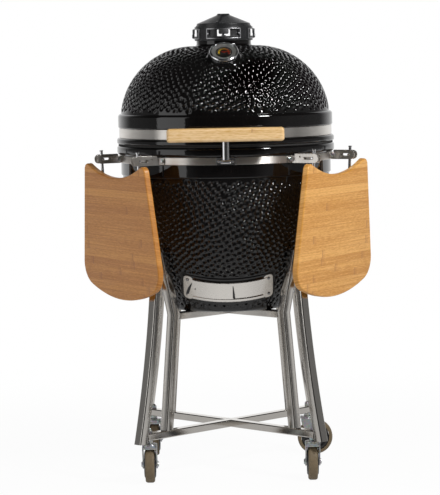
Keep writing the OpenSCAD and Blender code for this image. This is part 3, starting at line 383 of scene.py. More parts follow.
class Value:
    """A socket with arithmetic: each expression adds its Math nodes."""

    def __init__(self, finish, socket):
        self.finish = finish
        self.socket = socket

    def math(self, operation, *values):
        return self.finish.add("ShaderNodeMath", {"operation": operation}, dict(enumerate(values)))

    def __add__(self, other):
        return self.math("ADD", self, other)

    def __sub__(self, other):
        return self.math("SUBTRACT", self, other)

    def __mul__(self, other):
        return self.math("MULTIPLY", self, other)

    def __truediv__(self, other):
        return self.math("DIVIDE", self, other)

    def __rsub__(self, other):
        return self.math("SUBTRACT", other, self)

    def __lt__(self, other):
        return self.math("LESS_THAN", self, other)

    def __gt__(self, other):
        return self.math("GREATER_THAN", self, other)

    def within(self, low, high):
        return (self > low) * (self < high)

    def floor(self):
        return self.math("FLOOR", self)

    def fract(self):
        return self.math("FRACT", self)

    def absolute(self):
        return self.math("ABSOLUTE", self)

    def ramp(self, low, high, to_low=0.0, to_high=1.0):
        """Follows this value from low to high, smoothly, and stays level outside."""
        settings = {"interpolation_type": "SMOOTHSTEP", "clamp": True}
        return self.finish.add("ShaderNodeMapRange", settings,
                               {"Value": self, "From Min": low, "From Max": high,
                                "To Min": to_low, "To Max": to_high})


class Finish:
    """A material: one Principled shader, and the nodes that feed it."""

    def __init__(self, name, **constants):
        self.material = bpy.data.materials.new("grill_" + name)
        self.material.use_nodes = True
        self.tree = self.material.node_tree
        self.shader = self.tree.nodes["Principled BSDF"]
        for key, value in constants.items():
            self.shader.inputs[key.replace("_", " ")].default_value = value
        self.place = self.add("ShaderNodeTexCoord", out="Object")

    def add(self, kind, settings=None, sockets=None, out=0):
        """Adds a node: its settings first, then the values or links of its sockets."""
        node = self.tree.nodes.new(kind)
        for key, value in (settings or {}).items():
            setattr(node, key, value)
        for key, value in (sockets or {}).items():
            if isinstance(value, Value):
                self.tree.links.new(value.socket, node.inputs[key])
            else:
                node.inputs[key].default_value = value
        return Value(self, node.outputs[out])

    def axes(self, vector=None):
        vector = vector or self.place
        return [self.add("ShaderNodeSeparateXYZ", None, {0: vector}, out=k) for k in range(3)]

    def vector(self, x, y, z):
        return self.add("ShaderNodeCombineXYZ", None, {0: x, 1: y, 2: z})

    def length(self, x, y):
        return self.add("ShaderNodeVectorMath", {"operation": "LENGTH"}, {0: self.vector(x, y, 0.0)}, "Value")

    def noise(self, scale, detail=2.0, vector=None, rough=0.5):
        """Noise with so many waves to a metre along each axis."""
        scale = scale if isinstance(scale, tuple) else (scale,) * 3
        place = self.add("ShaderNodeVectorMath", {"operation": "MULTIPLY"},
                         {0: vector or self.place, 1: scale})
        return self.add("ShaderNodeTexNoise", None,
                        {"Vector": place, "Scale": 1.0, "Detail": detail, "Roughness": rough})

    def draw(self, seed):
        """A random number that stays the same for the same seed."""
        return self.add("ShaderNodeTexWhiteNoise", {"noise_dimensions": "1D"}, {"W": seed})

    def blend(self, share, first, second):
        """Goes from the first colour to the second."""
        a, b = (c if isinstance(c, Value) else (*c, 1.0) for c in (first, second))
        return self.add("ShaderNodeMix", {"data_type": "RGBA"}, {0: share, 6: a, 7: b}, out=2)

    def feed(self, name, value):
        self.tree.links.new(value.socket, self.shader.inputs[name])

    def bump(self, height, distance):
        self.feed("Normal", self.add("ShaderNodeBump", None,
                                     {"Height": height, "Distance": distance, "Strength": 1.0}))


def shade(colour, *shares):
    """A colour times one share, or times a share for each channel."""
    return tuple(c * k for c, k in zip(colour, shares if len(shares) == 3 else shares * 3))


def black_glaze(look):
    f = Finish("black_glaze", IOR=1.55)
    f.feed("Base Color", f.blend(f.noise(35, 3), look.glaze, shade(look.glaze, 1.9)))
    f.feed("Roughness", f.noise(60, 3).ramp(0.3, 0.75, 0.015, 0.045))
    f.bump(f.noise(260), 0.00006)
    return f.material


def fire_clay():
    f = Finish("fire_clay")
    speck = f.noise(420).ramp(0.60, 0.72)
    body = f.blend(f.noise(22, 4), (0.50, 0.40, 0.30), (0.36, 0.28, 0.205))
    f.feed("Base Color", f.blend(speck, body, (0.20, 0.15, 0.11)))
    f.feed("Roughness", f.noise(90).ramp(0.2, 0.8, 0.75, 0.95))
    f.bump(f.noise(300, 4), 0.0006)
    return f.material


def felt():
    f = Finish("felt")
    fibre = f.noise((900, 900, 2400), 4, rough=0.7)
    f.feed("Base Color", f.blend(fibre, (0.012, 0.012, 0.013), (0.06, 0.058, 0.055)))
    f.feed("Roughness", fibre.ramp(0.2, 0.8, 0.9, 1.0))
    f.bump(fibre, 0.0008)
    return f.material


def steel(name, colour, rough, grain, brushed=0.0):
    """Stainless steel with fine scratches: grain gives the waves to a metre along each axis."""
    f = Finish(name, Metallic=1.0, Anisotropic=brushed, Anisotropic_Rotation=0.25)
    scratch = f.noise(grain, 3, rough=0.65)
    cloud = f.noise(14)
    f.feed("Base Color", f.blend(scratch * 0.5 + cloud * 0.5, shade(colour, 0.86), shade(colour, 1.1)))
    f.feed("Roughness", (scratch * 0.6 + cloud * 0.4).ramp(0.25, 0.75, rough * 0.75, rough * 1.35))
    f.bump(scratch, 0.00003)
    return f.material


def zinc():
    f = Finish("zinc", Metallic=1.0)
    spangle = f.add("ShaderNodeTexVoronoi", None, {"Vector": f.place, "Scale": 260.0}, out="Color")
    f.feed("Base Color", f.blend(0.16, (0.56, 0.57, 0.58), spangle))
    f.feed("Roughness", f.noise(160, 3).ramp(0.3, 0.7, 0.28, 0.45))
    f.bump(f.noise(500), 0.00005)
    return f.material


def cast_iron(name, colour, rough):
    f = Finish(name)
    grain = f.noise(1500, 3)
    f.feed("Base Color", f.blend(f.noise(70, 3), colour, shade(colour, 2.0)))
    f.feed("Roughness", grain.ramp(0.3, 0.7, rough - 0.09, rough + 0.09))
    f.bump(grain, 0.00018)
    return f.material


def moulded(name, colour, rough):
    f = Finish(name)
    f.feed("Base Color", f.blend(f.noise(90, 3), shade(colour, 0.8), shade(colour, 1.25)))
    f.feed("Roughness", f.noise(240).ramp(0.3, 0.7, rough - 0.06, rough + 0.08))
    f.bump(f.noise(1400), 0.00006)
    return f.material


def bamboo(name, colour, width):
    """Glued strips of bamboo: U runs along a strip and V across the strips, in metres."""
    internode = 0.24
    f = Finish(name, Coat_Roughness=0.22)
    along, across, _ = f.axes(f.add("ShaderNodeUVMap", {"uv_map": "grain"}))
    strip = (across / width).floor()
    luck = f.draw(strip)
    joint = ((across / width).fract() - 0.5).absolute().ramp(0.47, 0.5)
    shifted = along / internode + luck * 7.3
    scar = f.draw(strip * 17.0 + shifted.floor()) > 0.60
    wander = f.noise((1, 160, 1), 1, f.vector(strip, across, luck)) * 0.035
    behind = shifted.fract() - 0.5 + wander
    knuckle = behind.absolute().ramp(0.011, 0.003) * scar
    stain = behind.ramp(0.10, 0.0) * (behind > 0) * scar
    fibre = f.noise((9, 1300, 1), 3, f.vector(along, across, luck), 0.7)
    streak = f.noise((3.5, 300, 1), 3, f.vector(along, across, luck * 9.0))
    fleck = f.noise((70, 420, 1), 2, f.vector(along, across, luck * 5.0))
    share = luck * 0.24 + fibre * 0.46 + streak * 0.66 + fleck * 0.62 - 0.49
    wood = f.blend(share.ramp(0.20, 0.78), shade(colour, 1.20, 1.32, 1.9), shade(colour, 0.78, 0.66, 0.3))
    for mark in (stain * 0.30, knuckle * 0.62, joint * 0.30):
        wood = f.blend(mark, wood, shade(colour, 0.56, 0.42, 0.40))
    f.feed("Base Color", wood)
    f.feed("Roughness", fibre.ramp(0.2, 0.8, 0.36, 0.52))
    f.feed("Coat Weight", fibre.ramp(0.2, 0.8, 0.14, 0.06))
    f.bump(fibre * 0.4 - joint - knuckle * 0.5, 0.00012)
    return f.material


def dial_print():
    """Black dial with a yellow to red arc, white marks and a silver rim, about the needle's axis."""
    f = Finish("dial_print")
    local = f.add("ShaderNodeMapping", {"vector_type": "TEXTURE"},
                  {"Vector": f.place, "Location": BOSS_PLACE.translation,
                   "Rotation": BOSS_PLACE.to_euler()})
    x, y, _ = f.axes(local)
    radius = f.length(x, y)
    turn = x.math("ARCTAN2", x, y) / TAU + 0.5
    sweep = turn.within(*DIAL_SWEEP)
    scale = radius.within(*DIAL_ARC) * sweep
    tick = ((turn * 36.0).fract() - 0.5).absolute() > 0.38
    marks = tick * radius.within(*DIAL_MARKS) * sweep
    rim = radius > DIAL_RIM
    heat = f.blend(turn.ramp(0.3, 0.78), (0.80, 0.50, 0.02), (0.62, 0.03, 0.015))
    face = f.blend(f.noise(300), (0.008, 0.008, 0.009), (0.016, 0.016, 0.017))
    printed = f.blend(marks, f.blend(scale, face, heat), (0.75, 0.75, 0.72))
    f.feed("Base Color", f.blend(rim, printed, (0.62, 0.62, 0.61)))
    f.feed("Metallic", rim * 0.5)
    f.feed("Roughness", f.noise(500).ramp(0.2, 0.8, 0.30, 0.45))
    return f.material


def dial_glass():
    f = Finish("dial_glass", IOR=1.46, Transmission_Weight=1.0, Base_Color=(0.97, 0.98, 0.98, 1.0))
    f.feed("Roughness", f.noise(80).ramp(0.3, 0.8, 0.0, 0.02))
    return f.material


def finish_named(name):
    """A finish by its name: all of them are made at the first call."""
    if "grill_black_glaze" not in bpy.data.materials:
        look = bpy.context.scene.grill_finish
        metal = tuple(look.steel)
        black_glaze(look)
        for make in (fire_clay, felt, zinc, dial_print, dial_glass):
            make()
        steel("band_steel", shade(metal, 1.10), 0.36, (30, 30, 1500), 0.9)
        steel("tube_steel", metal, 0.12, (900, 900, 12))
        steel("sheet_steel", shade(metal, 1.08), 0.33, (25, 900, 900))
        # The draft door's steel is a lighter copy of the sheet steel: painted sheen for the bright floor it
        # reflects
        steel("door_steel_painted_sheen", shade(metal, 1.3), 0.27, (25, 900, 900))
        steel("chrome", (0.76, 0.76, 0.77), 0.20, (500, 500, 500))
        # Chrome darkened to a dark grey: painted shade, on the vent's slot frames and on the draft door's
        # screws
        steel("satin_trim_painted_shade", (0.36, 0.36, 0.37), 0.32, (500, 500, 500))
        steel("grate_steel", (0.60, 0.59, 0.57), 0.25, (400, 20, 400))
        cast_iron("cap_iron", (0.010, 0.0102, 0.011), 0.34)
        cast_iron("grate_iron", (0.02, 0.02, 0.021), 0.62)
        moulded("hub_plastic", (0.012, 0.012, 0.012), 0.36)
        moulded("tread_rubber", tuple(look.tread), 0.55)
        moulded("needle_paint", (0.62, 0.05, 0.02), 0.35)
        bamboo("bamboo_tan", look.bamboo_tan, look.strip_width)
        bamboo("bamboo_gold", look.bamboo_gold, look.strip_width)
        bamboo("bamboo_pale", look.bamboo_pale, look.strip_width / 2)
    return bpy.data.materials["grill_" + name]


# Shapes: each function gives a bmesh, and piece() joins them

def at(x, y, z):
    return Matrix.Translation((x, y, z))


def spun(angle, axis="Z"):
    return Matrix.Rotation(angle, 4, axis)


# A plate is drawn flat: upright, its Y points up and its thickness to the front, and sideways to the right
UPRIGHT = Matrix(((1, 0, 0, 0), (0, 0, -1, 0), (0, 1, 0, 0), (0, 0, 0, 1)))
SIDEWAYS = Matrix(((0, 0, 1, 0), (1, 0, 0, 0), (0, 1, 0, 0), (0, 0, 0, 1)))


def moved(bm, *places):
    """Applies the places from the last to the first."""
    for place in reversed(places):
        bmesh.ops.transform(bm, matrix=place, verts=bm.verts)
        if place.determinant() < 0:
            bmesh.ops.reverse_faces(bm, faces=bm.faces)
    return bm


def outward(bm):
    bmesh.ops.remove_doubles(bm, verts=bm.verts, dist=1e-6)
    bmesh.ops.recalc_face_normals(bm, faces=bm.faces)
    return bm


def everything(bm):
    return bm.verts[:] + bm.edges[:] + bm.faces[:]


def soften(bm, width, segments=2):
    """Rounds every edge that is sharper than 30 degrees."""
    edges = [e for e in bm.edges if e.is_manifold and e.calc_face_angle(0) > math.radians(30)]
    bmesh.ops.bevel(bm, geom=edges, offset=width, offset_type="OFFSET", affect="EDGES", segments=segments,
                    profile=0.5, material=-1, clamp_overlap=True)
    return bm


def rounded(path, steps):
    """A path of (x, y, radius) corners with an arc in place of each corner that has a radius."""
    points = []
    for k, (x, y, r) in enumerate(path):
        here = Vector((x, y))
        if r == 0 or k in (0, len(path) - 1):
            points.append(here)
            continue
        back = (Vector(path[k - 1][:2]) - here).normalized()
        ahead = (Vector(path[k + 1][:2]) - here).normalized()
        half = back.angle(ahead) / 2
        centre = here + (back + ahead).normalized() * r / math.sin(half)
        start = here + back * r / math.tan(half) - centre
        end = here + ahead * r / math.tan(half) - centre
        turn = start.angle_signed(end)
        points += [centre + Matrix.Rotation(-turn * j / steps, 2) @ start for j in range(steps + 1)]
    return points


def arc(centre, r, start, end, steps):
    """Points on an arc, with angles in degrees."""
    turns = [math.radians(start + (end - start) * k / steps) for k in range(steps + 1)]
    return [Vector((centre[0] + r * math.cos(t), centre[1] + r * math.sin(t))) for t in turns]


def rect(w, h, r, steps=5):
    """Outline of a rectangle with round corners, about the origin."""
    x, y = w / 2 - r, h / 2 - r
    return [p for k, (cx, cy) in enumerate(((x, y), (-x, y), (-x, -y), (x, -y)))
            for p in arc((cx, cy), r, 90 * k, 90 * k + 90, steps)]


def mirrored(points, x=1, y=1):
    """A path that goes on through its mirror image, back to its start."""
    return points + [Vector((x * p.x, y * p.y)) for p in reversed(points)]


def dense(outline, step):
    """Splits the long sides of an outline."""
    points = []
    for a, b in zip(outline, outline[1:] + outline[:1]):
        cuts = max(1, math.ceil((b - a).length / step))
        points += [a.lerp(b, k / cuts) for k in range(cuts)]
    return points


def loop(bm, points):
    """A closed ring of edges through points, which lie on the XY plane if they have no height."""
    verts = [bm.verts.new((*p, 0.0)[:3]) for p in points]
    return [bm.edges.new(pair) for pair in zip(verts, verts[1:] + verts[:1])]


def plate(outline, thickness, holes=()):
    """Flat plate in the XY plane, with its thickness along Z."""
    bm = bmesh.new()
    edges = loop(bm, outline)
    if holes:
        for hole in holes:
            edges += loop(bm, hole)
        bmesh.ops.triangle_fill(bm, edges=edges, use_beauty=True, use_dissolve=False, normal=(0, 0, 1))
    else:
        bmesh.ops.contextual_create(bm, geom=edges)
    grown = bmesh.ops.extrude_face_region(bm, geom=bm.faces[:])["geom"]
    verts = [v for v in grown if isinstance(v, bmesh.types.BMVert)]
    bmesh.ops.translate(bm, vec=(0, 0, thickness), verts=verts)
    return outward(bm)


def sliced(bm, step):
    """Cuts a plate across X, so that it can be bent."""
    xs = [v.co.x for v in bm.verts]
    cuts = math.ceil((max(xs) - min(xs)) / step)
    for k in range(1, cuts):
        x = min(xs) + (max(xs) - min(xs)) * k / cuts
        bmesh.ops.bisect_plane(bm, geom=everything(bm), plane_co=(x, 0, 0), plane_no=(1, 0, 0), dist=1e-7)
    return bm


def wrapped(bm, r):
    """Bends a plate round the Z axis, in front: X goes round, Y up and Z outwards from the radius."""
    for v in sliced(bm, 0.004).verts:
        turn, out = v.co.x / r, r + v.co.z
        v.co = (out * math.sin(turn), -out * math.cos(turn), v.co.y)
    return outward(bm)


def draft_depth(r, x):
    """How far a curve of the draft door lies behind its middle."""
    return DRAFT_R - third_side(r, x)


def bowed(bm, r):
    """Bends a plate to the draft door's curve: the outline is seen from the front, and Z goes outwards."""
    for v in sliced(bm, 0.005).verts:
        v.co = (v.co.x, draft_depth(r + v.co.z, v.co.x), v.co.y)
    return moved(outward(bm), DRAFT_PLACE)


def pad(w, h, r, edge, thickness=PAD_T):
    """Curved plate that lies on a band, in front and about the height 0."""
    return wrapped(soften(plate(rect(w, h, r), thickness), edge), PAD_R)


def on_band(turn, z, out=PAD_T):
    """A place on a band's pad, a turn away from the front, with Z outwards."""
    return spun(turn) @ at(0, -PAD_R - out, z) @ spun(TAU / 4, "X")


def turned(profile, steps=96, closed=True, inward=False):
    """Turns a profile of (radius, height) points about the Z axis."""
    on_axis = max(profile[0][0], profile[-1][0]) < 1e-9
    path = profile + profile[:1] if closed and not on_axis else profile
    rows = len(path) - 1
    bm = bmesh.new()
    bmesh.ops.create_grid(bm, x_segments=steps, y_segments=rows, size=1.0)
    for v in bm.verts:
        turn = TAU * round((v.co.x + 1) * steps / 2) / steps
        r, z = path[round((v.co.y + 1) * rows / 2)]
        v.co = (r * math.cos(turn), r * math.sin(turn), z)
    outward(bm)
    if not closed:
        level = sum(v.co.z for v in bm.verts) / len(bm.verts)
        flow = sum(f.normal.dot(f.calc_center_median() - Vector((0, 0, level))) * f.calc_area()
                   for f in bm.faces)
        if (flow < 0) != inward:
            bmesh.ops.reverse_faces(bm, faces=bm.faces)
    return bm


def ring_profile(r0, r1, z0, z1, edge):
    """Section of a ring with softened edges."""
    path = [((r0 + r1) / 2, z0, 0), (r1, z0, edge), (r1, z1, edge), (r0, z1, edge), (r0, z0, edge),
            ((r0 + r1) / 2, z0, 0)]
    return rounded(path, 4)[:-1]


def disc(r, z0, z1, edge, steps=48):
    """Round plate with softened edges."""
    path = [(0, z0, 0), (r, z0, edge), (r, z1, edge), (0, z1, 0)]
    return turned(rounded(path, 4), steps)


def prism(r, height, sides):
    """Straight bar with sharp ends, standing on the XY plane."""
    bm = bmesh.new()
    bmesh.ops.create_cone(bm, cap_ends=True, segments=sides, radius1=r, radius2=r, depth=height,
                          matrix=at(0, 0, height / 2))
    return bm


def rod(a, b, r, sides, edge=0.0):
    """Round bar between two points."""
    a, b = Vector(a), Vector(b)
    length = (b - a).length
    bar = disc(r, 0, length, edge, sides) if edge else prism(r, length, sides)
    turn = VERTICAL.rotation_difference(b - a).to_matrix().to_4x4()
    return moved(bar, Matrix.Translation(a), turn)


def box(size, centre, edge, segments=2):
    """Block with softened edges."""
    bm = bmesh.new()
    bmesh.ops.create_cube(bm, size=1.0, matrix=at(*centre) @ Matrix.Diagonal((*size, 1.0)))
    return soften(bm, edge, segments)


def bolt_head(width, height, washer=0.0):
    """Hexagonal head on a washer, standing on the XY plane."""
    parts = [soften(prism(width / 2, height, 6), width * 0.06)]
    if washer:
        parts.append(disc(washer / 2, 0, height * 0.3, height * 0.08, 28))
    return joined(parts)


def screw_head(width, height):
    """Low round head with a cross on it, standing on the XY plane."""
    r = width / 2
    head = turned(rounded([(0, 0, 0), (r, 0, 0), (r, height, height * 0.75), (0, height, 0)], 5), 28)
    long, short, deep = width * 0.60, width * 0.15, height * 0.3
    bars = [box((*size, deep), (0, 0, height * 0.93), short * 0.1, 1)
            for size in ((long, short), (short, long))]
    return joined([head] + bars)


def meshed(name, bm):
    mesh = bpy.data.meshes.new(name)
    bm.to_mesh(mesh)
    bm.free()
    return mesh


def linked(name, data):
    """A new object in the scene."""
    obj = bpy.data.objects.new(name, data)
    bpy.context.scene.collection.objects.link(obj)
    return obj


def joined(parts):
    """Joins shapes into the first one."""
    whole = parts[0]
    for part in parts[1:]:
        spare = meshed("part", part)
        whole.from_mesh(spare)
        bpy.data.meshes.remove(spare)
    return whole


def weighted(mesh, crease):
    """Normals at the faces' corners, weighted by area: a flat face stays flat beside its round edges."""
    faces = [(face.normal.copy(), face.area, tuple(face.vertices)) for face in mesh.polygons]
    about = [[] for _ in mesh.vertices]
    for normal, area, corners in faces:
        for k in corners:
            about[k].append((normal, area))
    sums = [sum((other * area for other, area in about[k] if other.dot(normal) > crease), Vector())
            for normal, _, corners in faces for k in corners]
    return [total.normalized() for total in sums]


def piece(name, parts, finish, body, slot, *nodes, crease=38):
    """Makes a piece of the parts: it rides on a body and stands for CAD nodes."""
    mesh = meshed(name, joined(parts))
    mesh.polygons.foreach_set("use_smooth", [True] * len(mesh.polygons))
    mesh.set_sharp_from_angle(angle=math.radians(crease))
    hollow = mesh.attributes.get("hollow")
    if hollow:
        mesh.normals_split_custom_set_from_vertices([point.vector[:] for point in hollow.data])
        mesh.attributes.remove(mesh.attributes["hollow"])
    else:
        mesh.normals_split_custom_set(weighted(mesh, math.cos(math.radians(crease))))
    mesh.materials.append(finish_named(finish))
    obj = linked(name, mesh)
    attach(obj, body)
    if nodes:
        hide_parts(*nodes)
    return obj


def repaint(finish, *nodes):
    """Gives CAD nodes a finish."""
    for name in nodes:
        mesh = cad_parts[name].data
        mesh.materials.clear()
        mesh.materials.append(finish_named(finish))


def grain(bm, along, across):
    """Lays a map in metres: U along the strips and V across them."""
    layer = bm.loops.layers.uv.new("grain")
    for face in bm.faces:
        for corner in face.loops:
            corner[layer].uv = (corner.vert.co.dot(along), corner.vert.co.dot(across))
    return bm


# Dimpled glaze

def smooth(low, high, x):
    t = min(max((x - low) / (high - low), 0.0), 1.0)
    return t * t * (3 - 2 * t)


def placed(points):
    """A tree that finds the nearest of the points."""
    tree = kdtree.KDTree(len(points))
    for k, point in enumerate(points):
        tree.insert(point, k)
    tree.balance()
    return tree


def dimple_centres(centre, r, start, end, look):
    """Dimples scattered over a turned shell, and pushed apart until they lie about a pitch apart."""
    pitch = look.dimple_pitch
    golden = TAU * (3 - math.sqrt(5)) / 2
    luck = random.Random(4)
    share = math.sqrt(0.75) * pitch ** 2 / (TAU * r)
    points, lean = [], start
    while lean < end:
        out = centre[0] + r * math.cos(lean)
        turn = golden * len(points)
        points.append(Vector((out * math.cos(turn), out * math.sin(turn), centre[1] + r * math.sin(lean))))
        points[-1] += Vector([luck.uniform(-0.35, 0.35) * pitch for _ in range(3)])
        lean += share / out
    for _ in range(6):
        tree = placed(points)
        for k, point in enumerate(points):
            goal = point.copy()
            for near, other, gap in tree.find_range(point, pitch):
                if other != k:
                    goal += (point - near) * (pitch / max(gap, 1e-4) - 1) * 0.3
            out = math.hypot(goal.x, goal.y)
            lean = min(max(math.atan2(goal.z - centre[1], out - centre[0]), start), end)
            points[k] = Vector((goal.x / out, goal.y / out, 0)) * (centre[0] + r * math.cos(lean))
            points[k].z = centre[1] + r * math.sin(lean)
    return points


def dimple(bm, centre, points, look, strength):
    """Presses round dimples into a turned shell, along its normals, and keeps the normals of their hollows.
    strength(point) fades them."""
    tree = placed(points)
    reach = look.dimple_width / 2
    hollow = bm.verts.layers.float_vector.new("hollow")
    for v in bm.verts:
        point, _, gap = tree.find(v.co)
        if gap >= reach:
            continue
        depth = look.dimple_depth * strength(v.co)
        out = math.hypot(v.co.x, v.co.y)
        lean = Vector((out - centre[0], v.co.z - centre[1])).normalized()
        normal = Vector((v.co.x / out * lean.x, v.co.y / out * lean.x, lean.y))
        aside = v.co - point
        aside -= normal * aside.dot(normal)
        if depth > 0:
            v[hollow] = (normal - aside * 2 * depth / reach ** 2).normalized()
        v.co -= normal * depth * (1 - (gap / reach) ** 2)


class GRILL_OT_bowl(Operator):
    """Dimpled bowl with its smooth collar and rim, bare clay inside, and the seat of the draft door"""
    bl_idname = "grill.bowl"
    bl_label = "Bowl"

    def strength(self, point):
        """Share of a dimple's depth: the dimples end beside the draft door, the collar and the foot."""
        near = TO_DRAFT @ point
        gap = math.hypot(max(abs(near.x) - SEAT_W / 2, 0), max(abs(near.z) - SEAT_H / 2, 0))
        fade = smooth(*FADE, gap) if near.y < DRAFT_DEPTH else 1.0
        return (fade * smooth(COLLAR_Z - 0.002, COLLAR_Z - 0.010, point.z)
                * smooth(FOOT_Z - 0.012, FOOT_Z, point.z))

    def opened(self, bm, wider, higher):
        """Takes the draft door's opening out of a wall, and somewhat more."""
        w, h = DRAFT_OPEN[0] + wider, DRAFT_OPEN[1] + higher
        hole = []
        for face in bm.faces:
            near = TO_DRAFT @ face.calc_center_median()
            if abs(near.x) < w / 2 and abs(near.z) < h / 2 and near.y < DRAFT_DEPTH:
                hole.append(face)
        bmesh.ops.delete(bm, geom=hole, context="FACES")
        return bm

    def execute(self, context):
        look = context.scene.grill_finish
        centre = (BOWL_CX, BOWL_CZ)
        low, high = math.atan2(FOOT_Z - BOWL_CZ, FOOT_R - BOWL_CX), -BOWL_LEAN
        rows = round((high - low) * BOWL_ARC / look.bowl_mesh)
        profile = [Vector((0, BOWL_LOW)), Vector((FOOT_R / 2, BOWL_LOW))]
        profile += arc((FOOT_R, FOOT_Z), FOOT_ROUND, -90, math.degrees(low), 7)[:-1]
        profile += arc(centre, BOWL_ARC, math.degrees(low), math.degrees(high), rows)
        side = turned(profile, round(TAU * BOWL_MEAN_R / look.bowl_mesh), closed=False)
        points = dimple_centres(centre, BOWL_ARC, low + 0.004, high - 0.010, look)
        dimple(side, centre, points, look, self.strength)
        piece("bowl_side", [self.opened(side, 0.020, 0.014)], "black_glaze", "base", "glaze", "base_shell",
              crease=75)
        ledge = BASE_BAND[1] + FIT
        rim = rounded([(SIDE_R - 0.004, COLLAR_Z + 2 * FIT, 0), (COLLAR_R, COLLAR_Z + 2 * FIT, 0.005),
                       (COLLAR_R, ledge, 0), (RIM_R, ledge, 0.009), (RIM_R, BOWL_TOP, 0.007),
                       (MOUTH_R, BOWL_TOP, 0)], 8)
        piece("bowl_rim", [turned(rim, RIM_STEPS, closed=False)], "black_glaze", "base", "glaze")
        inner = BOWL_ARC - BOWL_WALL
        leans = [-math.degrees(math.asin((BOWL_CZ - z) / inner)) for z in (BOWL_FLOOR, BOWL_TOP)]
        wall = [Vector((0, BOWL_FLOOR)), *arc(centre, inner, *leans, 60), Vector((MOUTH_R, BOWL_TOP))]
        clay = turned(wall, 180, closed=False, inward=True)
        piece("bowl_inside", [self.opened(clay, 0.004, 0.004)], "fire_clay", "base", "fire_clay")
        seat = plate(rect(SEAT_W, SEAT_H, 0.010), SEAT_T, [rect(*DRAFT_OPEN, 0.006)])
        piece("draft_seat", [bowed(soften(seat, 0.0012), DRAFT_R - SEAT_T)], "black_glaze", "base", "glaze")
        return {"FINISHED"}


class GRILL_OT_lid(Operator):
    """Dimpled dome with its collar, rim, neck and the boss under the thermometer"""
    bl_idname = "grill.lid"
    bl_label = "Lid"

    def strength(self, point):
        """Share of a dimple's depth: the dimples end beside the boss, the collar and the neck."""
        near = TO_BOSS @ point
        gap = math.hypot(near.x, near.y) - BOSS_R
        fade = smooth(*FADE, gap) if near.z > -BOSS_DEPTH else 1.0
        return (fade * smooth(LID_COLLAR_TOP + 0.002, LID_COLLAR_TOP + 0.010, point.z)
                * smooth(NECK_R + 0.012, NECK_R + 0.020, math.hypot(point.x, point.y)))

    def raise_boss(self, shell):
        """Lifts the shell to a flat round boss under the thermometer."""
        hollow = shell.verts.layers.float_vector["hollow"]
        for v in shell.verts:
            near = TO_BOSS @ v.co
            gap = math.hypot(near.x, near.y) - BOSS_R
            if near.z > -BOSS_DEPTH and gap < 0.006:
                near.z += (BOSS_LIFT - near.z) * smooth(0.006, -0.002, gap)
                v.co = BOSS_PLACE @ near
                v[hollow] = (0, 0, 0)

    def execute(self, context):
        look = context.scene.grill_finish
        centre = (CROWN_R, SHOULDER_Z)
        low = math.asin((LID_COLLAR_TOP - 0.004 - SHOULDER_Z) / SHOULDER_R)
        rows = round((TAU / 4 - low) * SHOULDER_R / look.bowl_mesh)
        dome = arc(centre, SHOULDER_R, math.degrees(low), 90, rows)
        neck = rounded([(CROWN_R, CROWN_Z, 0), (NECK_R, CROWN_Z, 0.006), (NECK_R, NECK_TOP, 0.003),
                        (FLUE_R, NECK_TOP, 0)], 6)[1:]
        shell = turned(dome + neck, round(TAU * LID_MEAN_R / look.bowl_mesh), closed=False)
        points = dimple_centres(centre, SHOULDER_R, low + 0.06, TAU / 4, look)
        dimple(shell, centre, points, look, self.strength)
        self.raise_boss(shell)
        piece("lid_dome", [shell], "black_glaze", "lid", "glaze", "lid_shell", crease=75)
        under, over = LID_BAND[0] - FIT, LID_BAND[1] + FIT
        rim = rounded([(LID_SEAM_R, LID_COLLAR_TOP - 0.0005, 0), (LID_COLLAR_R, LID_COLLAR_TOP, 0.009),
                       (LID_COLLAR_R, over, 0.003), (COLLAR_R, over, 0), (COLLAR_R, under, 0),
                       (RIM_R, under, 0.007), (RIM_R, LID_LOW, 0.004), (MOUTH_R, LID_LOW, 0)], 8)
        piece("lid_rim", [turned(rim, RIM_STEPS, closed=False)], "black_glaze", "lid", "glaze")
        inner = SHOULDER_R - LID_WALL
        ceiling = SHOULDER_Z + inner
        wall = [Vector((CROWN_R + inner, LID_LOW))] + arc(centre, inner, 0, 90, 40)
        wall += rounded([(CROWN_R, ceiling, 0), (FLUE_R, ceiling, 0.006), (FLUE_R, NECK_TOP, 0)], 5)[1:]
        piece("lid_inside", [turned(wall, 144, closed=False, inward=True)], "fire_clay", "lid", "fire_clay")
        return {"FINISHED"}


class GRILL_OT_bands(Operator):
    """Two steel bands round the rims, and the felt seals between them"""
    bl_idname = "grill.bands"
    bl_label = "Bands"

    def execute(self, context):
        for name, body, (z0, z1) in (("base_band", "base", BASE_BAND), ("lid_band", "lid", LID_BAND)):
            band = ring_profile(BAND_R - BAND_T, BAND_R, z0, z1, BAND_T / 3)
            piece(name.replace("_", "_steel_"), [turned(band, RIM_STEPS)], "band_steel", body, "band_steel",
                  name)
        repaint("felt", "base_gasket", "lid_gasket")
        return {"FINISHED"}


